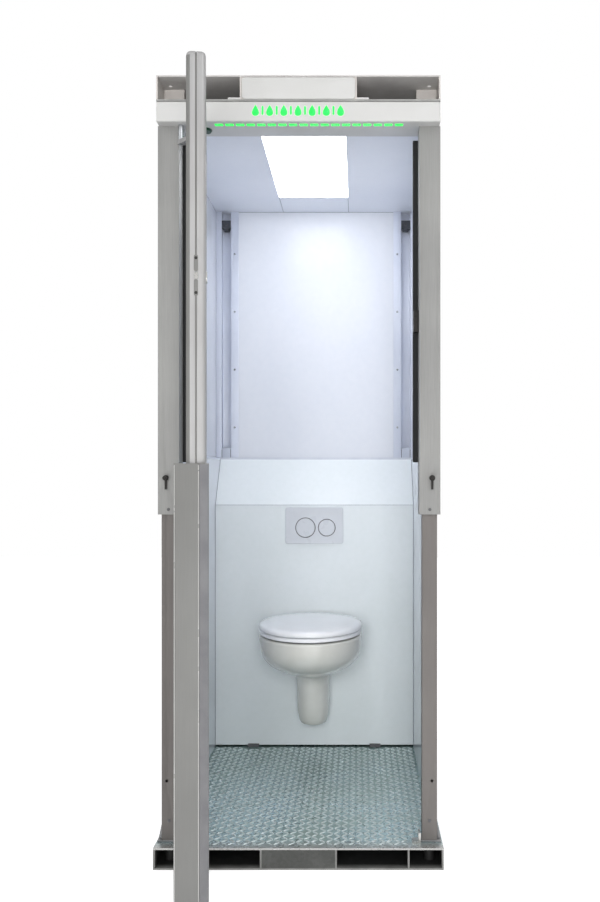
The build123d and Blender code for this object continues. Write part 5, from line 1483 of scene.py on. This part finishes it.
@dataclass
class Door:
    """Door in two leaves: the upper one slides down into the pocket of the lower one.

    Attributes:
        soft: Edge rounding of the leaf frames.
        pivot: X and Y of the door's pivot.
        along: Direction from the pivot to the free edge, at rest.
        edge: Distance of the upper leaf's free edge from the pivot, and depth of its middle.
        stile: Width and depth of the upright at that edge.
        dome: Z of the upper leaf's top, and radius of its rounding at the free edge.
        cuts: Shares of the rounding's height at which the frame is cut so that it can bend.
        draw: Share of a full quarter circle by which the rounding draws in.
        bolt: Height of the lock bolt.
        face: Width, height, corner radius, thickness and edge radius of a lock face plate.
        face_gap: Distance of a face plate from the bolt's height, and of its screw from its middle.
        face_head: Radius and height of that screw's head.
        groove: Lowest and highest Z of the edge gasket.
        gasket: Width, depth and edge radius of the gasket.
        gasket_spot: How deep the gasket's middle lies, and how far it ends from the bolt's height.
        flange: Distance from the pivot and depth of the lower leaf's flange.
        strip: Width, height, corner radius, thickness and edge radius of the flange's wear strip.
        strip_drop: Distance of the strip's top below the pocket's mouth.
        corners: Along and depth of the edge bead's two upright runs.
        over: Along, depth and height from its top for the bead's run over the leaf.
        turn_start: Distance from its top at which the bead's upright runs end.
        bead: Distance of the bead's foot and top below the pocket's mouth, and its radius.
        lobe: Along and depth of the upper leaf's rounded corner, and outer and inner radius of the dark strip
            painted on it as shade.
        lobe_turn: First and last angle of the liner in degrees.
        pocket: First and last distance along the pocket, and the depth range of its brush.
        pocket_top: Z of the pocket's mouth.
        tuft: Radius and height of a brush tuft's circles.
        tuft_rows: Spacing of the tufts along the pocket, shift of every second row, and margin of the rows.
        brush_strip: Distance of the tufts' feet and of their strip below the pocket's mouth, and the strip's
            thickness and edge radius.
    """

    soft: float = 1.2
    pivot: Pair = (-328.0, -570.0)
    along: Triple = (0.147809411, -0.989015863, 0.0)
    edge: Pair = (637.0, 49.5)
    stile: Pair = (46.0, 42.0)
    dome: Pair = (2005.0, 9.5)
    cuts: tuple[float, ...] = (0.0, 0.35, 0.6, 0.78, 0.9, 0.97)
    draw: float = 0.8
    bolt: float = 1520.0
    face: tuple[float, ...] = (9.0, 36.0, 4.0, 0.6, 0.4)
    face_gap: Pair = (8.5, 11.0)
    face_head: Pair = (3.4, 0.9)
    groove: Pair = (990.0, 2000.0)
    gasket: Triple = (2.2, 3.7, 0.9)
    gasket_spot: Pair = (1.3, 9.0)
    flange: Pair = (645.0, 66.7)
    # strip: Width, height, corner radius, thickness and edge radius of the dark strip painted on the flange
    # as shade.
    strip: tuple[float, ...] = (19.6, 1041.0, 1.0, 0.6, 0.25)
    strip_drop: float = 2.0
    corners: tuple[Pair, Pair] = ((645.6, 4.4), (646.7, 54.7))
    over: tuple[Triple, ...] = (
        (646.0, 5.6, -1.2), (646.4, 8.4, 0.0), (646.6, 30.0, 0.0), (646.6, 51.0, 0.0), (646.6, 53.6, -1.2),
    )
    turn_start: float = 4.0
    bead: Triple = (1043.0, 1.4, 1.3)
    lobe: Four = (628.0, 37.5, 9.4, 9.04)
    lobe_turn: Pair = (-92.0, -8.0)
    pocket: Four = (16.0, 638.0, 6.0, 26.5)
    pocket_top: float = 1115.0
    tuft: tuple[Pair, ...] = ((2.6, 0.0), (2.9, 6.0), (1.9, 11.0))
    tuft_rows: Triple = (4.4, 1.1, 3.0)
    brush_strip: Four = (13.0, 14.5, 3.0, 0.8)

    def swung(self, shape: Shape) -> Shape:
        """Turn a shape from along, depth and height on the door to its place.

        Args:
            shape: Points and faces on the door's own axes.

        Returns:
            Points and faces in the cabin's axes.
        """
        x, y, _ = self.along
        return placed(shape[0], (*self.pivot, 0.0), self.along, (-y, x, 0.0)), shape[1]

    def upright(self, sizes: tuple[float, ...], at: Triple) -> Shape:
        """Flat plate that stands on the free edge of a leaf."""
        points, faces = plate(*sizes)
        return placed(points, at, Y_AXIS, Z_AXIS), faces

    def build(self) -> None:
        """Ease the leaf frames and add lock plates, gasket and brush on the door's own axes."""
        eased("door_lower_frame", Surface.LEAF, self.soft)
        self.round_top(eased("door_upper_frame", Surface.LEAF_LIGHT, self.soft).data)
        a, b = self.edge
        plates, heads, gaskets = [], [], []
        for side, end in zip((-1.0, 1.0), self.groove):
            middle = self.bolt + side * (self.face[1] / 2 + self.face_gap[0])
            plates.append(self.upright(self.face, (a, b, middle)))
            spot = (a + self.face[3], b, middle + side * self.face_gap[1])
            heads.append(copies(Head.SCREW.shape(*self.face_head, X_AXIS), [spot]))
            low, high = sorted((end, self.bolt + side * self.gasket_spot[1]))
            deep = a - self.gasket_spot[0]
            run = np.linspace((deep, b, low), (deep, b, high), 5)
            gaskets.append(carried(rounded(*self.gasket), run, X_AXIS))
        level = self.pocket_top - self.strip_drop - self.strip[1] / 2
        strip = self.upright(self.strip, (*self.flange, level))
        for name, shape, surface, body in (
            # Painted highlight: a bright rod along the corners of the lower leaf's edge.
            ("leaf_edge_bead", self.edge_bead(), Surface.BEAD, "door_lower"),
            # Painted shade: a dark strip on the upper leaf's rounded lobe.
            ("leaf_edge_shade_strip", self.lobe_shade_strip(), Surface.LEAF, "door_upper"),
            # Painted shade: a dark strip on the lower leaf's flange, where shade falls.
            ("leaf_flange_shade_strip", strip, Surface.ABS_GREY, "door_lower"),
            ("lock_face_plates", joined(*plates), Surface.LEAF, "door_upper"),
            ("lock_face_screws", joined(*heads), Surface.BURNISHED, "door_upper"),
            ("door_edge_gasket", joined(*gaskets), Surface.LEAF, "door_upper"),
        ):
            piece(name, self.swung(shape), surface, body)
        piece("pocket_brush", self.swung(self.brush()), Surface.RUBBER, "door_lower", sharp=70.0)

    def edge_bead(self) -> Shape:
        """Thin rod up one corner of the lower leaf's edge, over its top and down the other corner, as a
        painted highlight on those edges.

        Returns:
            Points and quads on the door's own axes.
        """
        foot, top, radius = self.bead
        high = self.pocket_top - top
        rise = np.linspace(self.pocket_top - foot, high - self.turn_start, 12)
        near, far = (np.tile(corner, (12, 1)) for corner in self.corners)
        start, end = np.column_stack([near, rise]), np.column_stack([far, rise[::-1]])
        over = np.array(self.over) + (0.0, 0.0, high)
        return carried(round_bar(radius, sides=8), np.concatenate([start, over, end]), X_AXIS)

    def lobe_shade_strip(self) -> Shape:
        """Thin dark strip on a rounded corner of the upper leaf, as painted shade on that lobe: a band
        between two arcs, carried upwards.

        Returns:
            Points and quads on the door's own axes.
        """
        a, b, outer, inner = self.lobe
        turn = np.radians(np.linspace(*self.lobe_turn, 9))
        arc = np.column_stack([np.cos(turn), np.sin(turn)])
        outline = np.concatenate([outer * arc, inner * arc[::-1]]) + (a, b)
        top = self.dome[0] - self.dome[1] - 1.0
        return carried(outline, np.linspace((0.0, 0.0, self.groove[0]), (0.0, 0.0, top), 4), X_AXIS)

    def round_top(self, data: bpy.types.Mesh) -> None:
        """Draw the free upright in towards its top: by r - sqrt(r^2 - h^2), h above the rounding's start.

        Args:
            data: Mesh of the upper leaf's frame.
        """
        top, radius = self.dome
        work = bmesh.new()
        work.from_mesh(data)
        for share in self.cuts:
            level = Vector((0.0, 0.0, (top - radius + share * radius) * MM))
            whole = work.verts[:] + work.edges[:] + work.faces[:]
            bmesh.ops.bisect_plane(work, geom=whole, plane_co=level, plane_no=Z_AXIS)
        work.to_mesh(data)
        work.free()
        flat = np.empty(3 * len(data.vertices), np.float32)
        data.vertices.foreach_get("co", flat)
        turn = np.array([self.along, (-self.along[1], self.along[0], 0.0), Z_AXIS])
        origin = np.array([*self.pivot, 0.0])
        own = (flat.reshape(-1, 3) / MM - origin) @ turn.T
        (end, middle), (wide, deep) = self.edge, self.stile
        root = end - wide
        height = np.clip(own[:, 2] - (top - radius), 0.0, radius)
        inset = self.draw * (radius - np.sqrt(radius**2 - height**2)) * (own[:, 0] > root + 0.5)
        own[:, 0] = root + (own[:, 0] - root) * (1.0 - inset / wide)
        own[:, 1] = middle + (own[:, 1] - middle) * (1.0 - 2.0 * inset / deep)
        data.vertices.foreach_set("co", ((own @ turn + origin) * MM).astype(np.float32).ravel())
        data.update()

    def brush(self) -> Shape:
        """Rows of five-sided tapered tufts on a strip, across the open part of the pocket.

        Returns:
            Points and quads on the door's own axes.
        """
        start, end, near, far = self.pocket
        pitch, shift, margin = self.tuft_rows
        foot, drop, thick, corner = self.brush_strip
        columns = np.arange(start + margin, end - 2.0, pitch)
        a, b = np.meshgrid(columns, np.linspace(near + margin, far - margin, 5), indexing="ij")
        a = a + shift * (np.arange(a.shape[1]) % 2)
        spots = at_height(np.column_stack([a.ravel(), b.ravel()]), self.pocket_top - foot)
        tufts = copies(turned(list(self.tuft), Z_AXIS, sides=5), spots)
        middle, level = (near + far) / 2, self.pocket_top - drop
        run = np.linspace((start, middle, level), (end, middle, level), 3)
        return joined(tufts, carried(rounded(far - near, thick, corner), run, Y_AXIS))

    def dress(self) -> None:
        """Give skins, panel, arms, lock and keeps their finishes."""
        dress(Surface.LEAF, "door_lower_skins", "door_lower_arm")
        dress(Surface.LEAF_LIGHT, "door_upper_panel", "door_upper_arm")
        dress(Surface.STAINLESS, "thumb_turn", "lock_bolt", "door_floor_keep")
        dress(Surface.BURNISHED, "lock_keep")
        dress(Surface.ZINC, "bottom_pivot")


@dataclass
class Lamp:
    """Soft square lamp.

    Attributes:
        name: Name of the lamp.
        spot: Place in metres.
        aim: Point that it looks at.
        size: Width in metres.
        power: Power in watts.
        shine: Whether glossy surfaces show it.
    """

    name: str
    spot: Triple
    aim: Triple
    size: float
    power: float
    shine: bool = True

    def build(self) -> None:
        """Hang the lamp and turn it to its aim."""
        data = bpy.data.lights.new(self.name, "AREA")
        data.shape, data.size, data.energy = "SQUARE", self.size, self.power
        made = stand(self.name, data)
        made.location, made.visible_glossy = self.spot, self.shine
        made.rotation_euler = (Vector(self.aim) - Vector(self.spot)).to_track_quat("-Z", "Y").to_euler()


@dataclass
class Studio:
    """Pale floor, white backdrop, soft lamps and the camera.

    Attributes:
        floor_half: Half width of the floor in metres.
        floor_tint: Colour of the floor.
        floor_grain_mm: Size of the paper's grain.
        floor_rough: Least and greatest roughness of the paper.
        floor_shine: Strength of the paper's reflection.
        floor_lift: Extra light of the floor for the eye, so that it meets the white backdrop.
        sky: Strength of the even light.
        lamps: The lamps.
        eye: Place of the camera.
        lens: Focal length in millimetres.
        sensor: Width of the camera's sensor in millimetres.
        shift: Shift of the picture.
    """

    floor_half: float = 9.0
    floor_tint: str = "#e9e9e9"
    floor_grain_mm: float = 4.0
    floor_rough: Pair = (0.85, 0.95)
    floor_shine: float = 0.1
    floor_lift: float = 0.72
    sky: float = 0.45
    lamps: tuple[Lamp, ...] = (
        Lamp("key_lamp", (2.6, -4.6, 3.6), (0.1, -0.5, 1.1), 2.6, 36.0),
        Lamp("fill_lamp", (-3.2, -3.8, 2.4), (-0.1, -0.5, 1.0), 2.4, 12.0),
        Lamp("front_lamp", (0.06, -4.5, 1.35), (0.02, 0.4, 0.5), 1.4, 116.0, shine=False),
    )
    eye: Triple = (0.1636, -3.3287, 1.1023)
    lens: float = 39.6
    sensor: float = 36.0
    shift: Pair = (-0.0641, 0.0202)

    def build(self) -> None:
        """Lay the floor, light the world, hang the lamps and set the camera."""
        half = self.floor_half
        data = bpy.data.meshes.new("studio_floor")
        corners = [(-half, -half, 0.0), (half, -half, 0.0), (half, half, 0.0), (-half, half, 0.0)]
        data.from_pydata(corners, [], [(0, 1, 2, 3)])
        floor = stand("studio_floor", data)
        data.materials.append(self.paper())
        self.world()
        for lamp in self.lamps:
            lamp.build()
        view = bpy.data.cameras.new("photo_camera")
        view.lens, view.sensor_width, view.sensor_fit = self.lens, self.sensor, "AUTO"
        view.shift_x, view.shift_y = self.shift
        camera = stand("photo_camera", view)
        camera.location, camera.rotation_euler = self.eye, (pi / 2, 0.0, 0.0)
        bpy.context.scene.camera = camera
        bpy.context.scene.view_settings.view_transform = "Standard"

    def seen(self, tree: Tree) -> Socket:
        """Whether a ray comes from the eye, directly, by a reflection or through glass.

        Args:
            tree: Node tree of the material or the world.

        Returns:
            One for such a ray, otherwise zero.
        """
        path = add(tree, "ShaderNodeLightPath").outputs
        rays = (path["Is Camera Ray"], path["Is Glossy Ray"])
        first = add(tree, "ShaderNodeMath", rays, operation="MAXIMUM").outputs[0]
        rays = (first, path["Is Transmission Ray"])
        return add(tree, "ShaderNodeMath", rays, operation="MAXIMUM").outputs[0]

    def paper(self) -> bpy.types.Material:
        """Matt paper floor that looks white where no shadow falls on it.

        Returns:
            The material.
        """
        made = bpy.data.materials.new("backdrop_paper_matt")
        made.use_nodes = True
        tree = made.node_tree
        shader = tree.nodes["Principled BSDF"]
        place = add(tree, "ShaderNodeTexCoord").outputs["Object"]
        size = {"Vector": place, "Scale": per_metre(self.floor_grain_mm), "Detail": 2.0}
        grain = add(tree, "ShaderNodeTexNoise", size).outputs[0]
        rough = add(tree, "ShaderNodeMapRange", (grain, 0.0, 1.0, *self.floor_rough)).outputs[0]
        tree.links.new(rough, shader.inputs["Roughness"])
        shader.inputs["Base Color"].default_value = linear(self.floor_tint)
        shader.inputs["Specular IOR Level"].default_value = self.floor_shine
        shader.inputs["Emission Color"].default_value = WHITE
        lift = (self.seen(tree), self.floor_lift)
        lifted = add(tree, "ShaderNodeMath", lift, operation="MULTIPLY").outputs[0]
        tree.links.new(lifted, shader.inputs["Emission Strength"])
        return made

    def world(self) -> None:
        """White backdrop for the eye and an even light for everything else."""
        world = bpy.data.worlds.new("studio_world")
        bpy.context.scene.world = world
        world.use_nodes = True
        tree = world.node_tree
        back = tree.nodes["Background"]
        back.inputs["Color"].default_value = WHITE
        strength = add(tree, "ShaderNodeMapRange", (self.seen(tree), 0.0, 1.0, self.sky, 1.0)).outputs[0]
        tree.links.new(strength, back.inputs["Strength"])


def main() -> None:
    """Build and dress every sub-assembly in order."""
    logging.basicConfig(level=logging.INFO, format="%(message)s")
    assemblies = (
        PalletBase(), Posts(), Walls(), CisternBox(), Toilet(), FlushPlate(), Header(), RoofPallet(), Door(),
    )
    for assembly in assemblies:
        LOG.info("-- %s", type(assembly).__name__)
        assembly.build()
        assembly.dress()
    Studio().build()


if __name__ == "__main__":
    main()
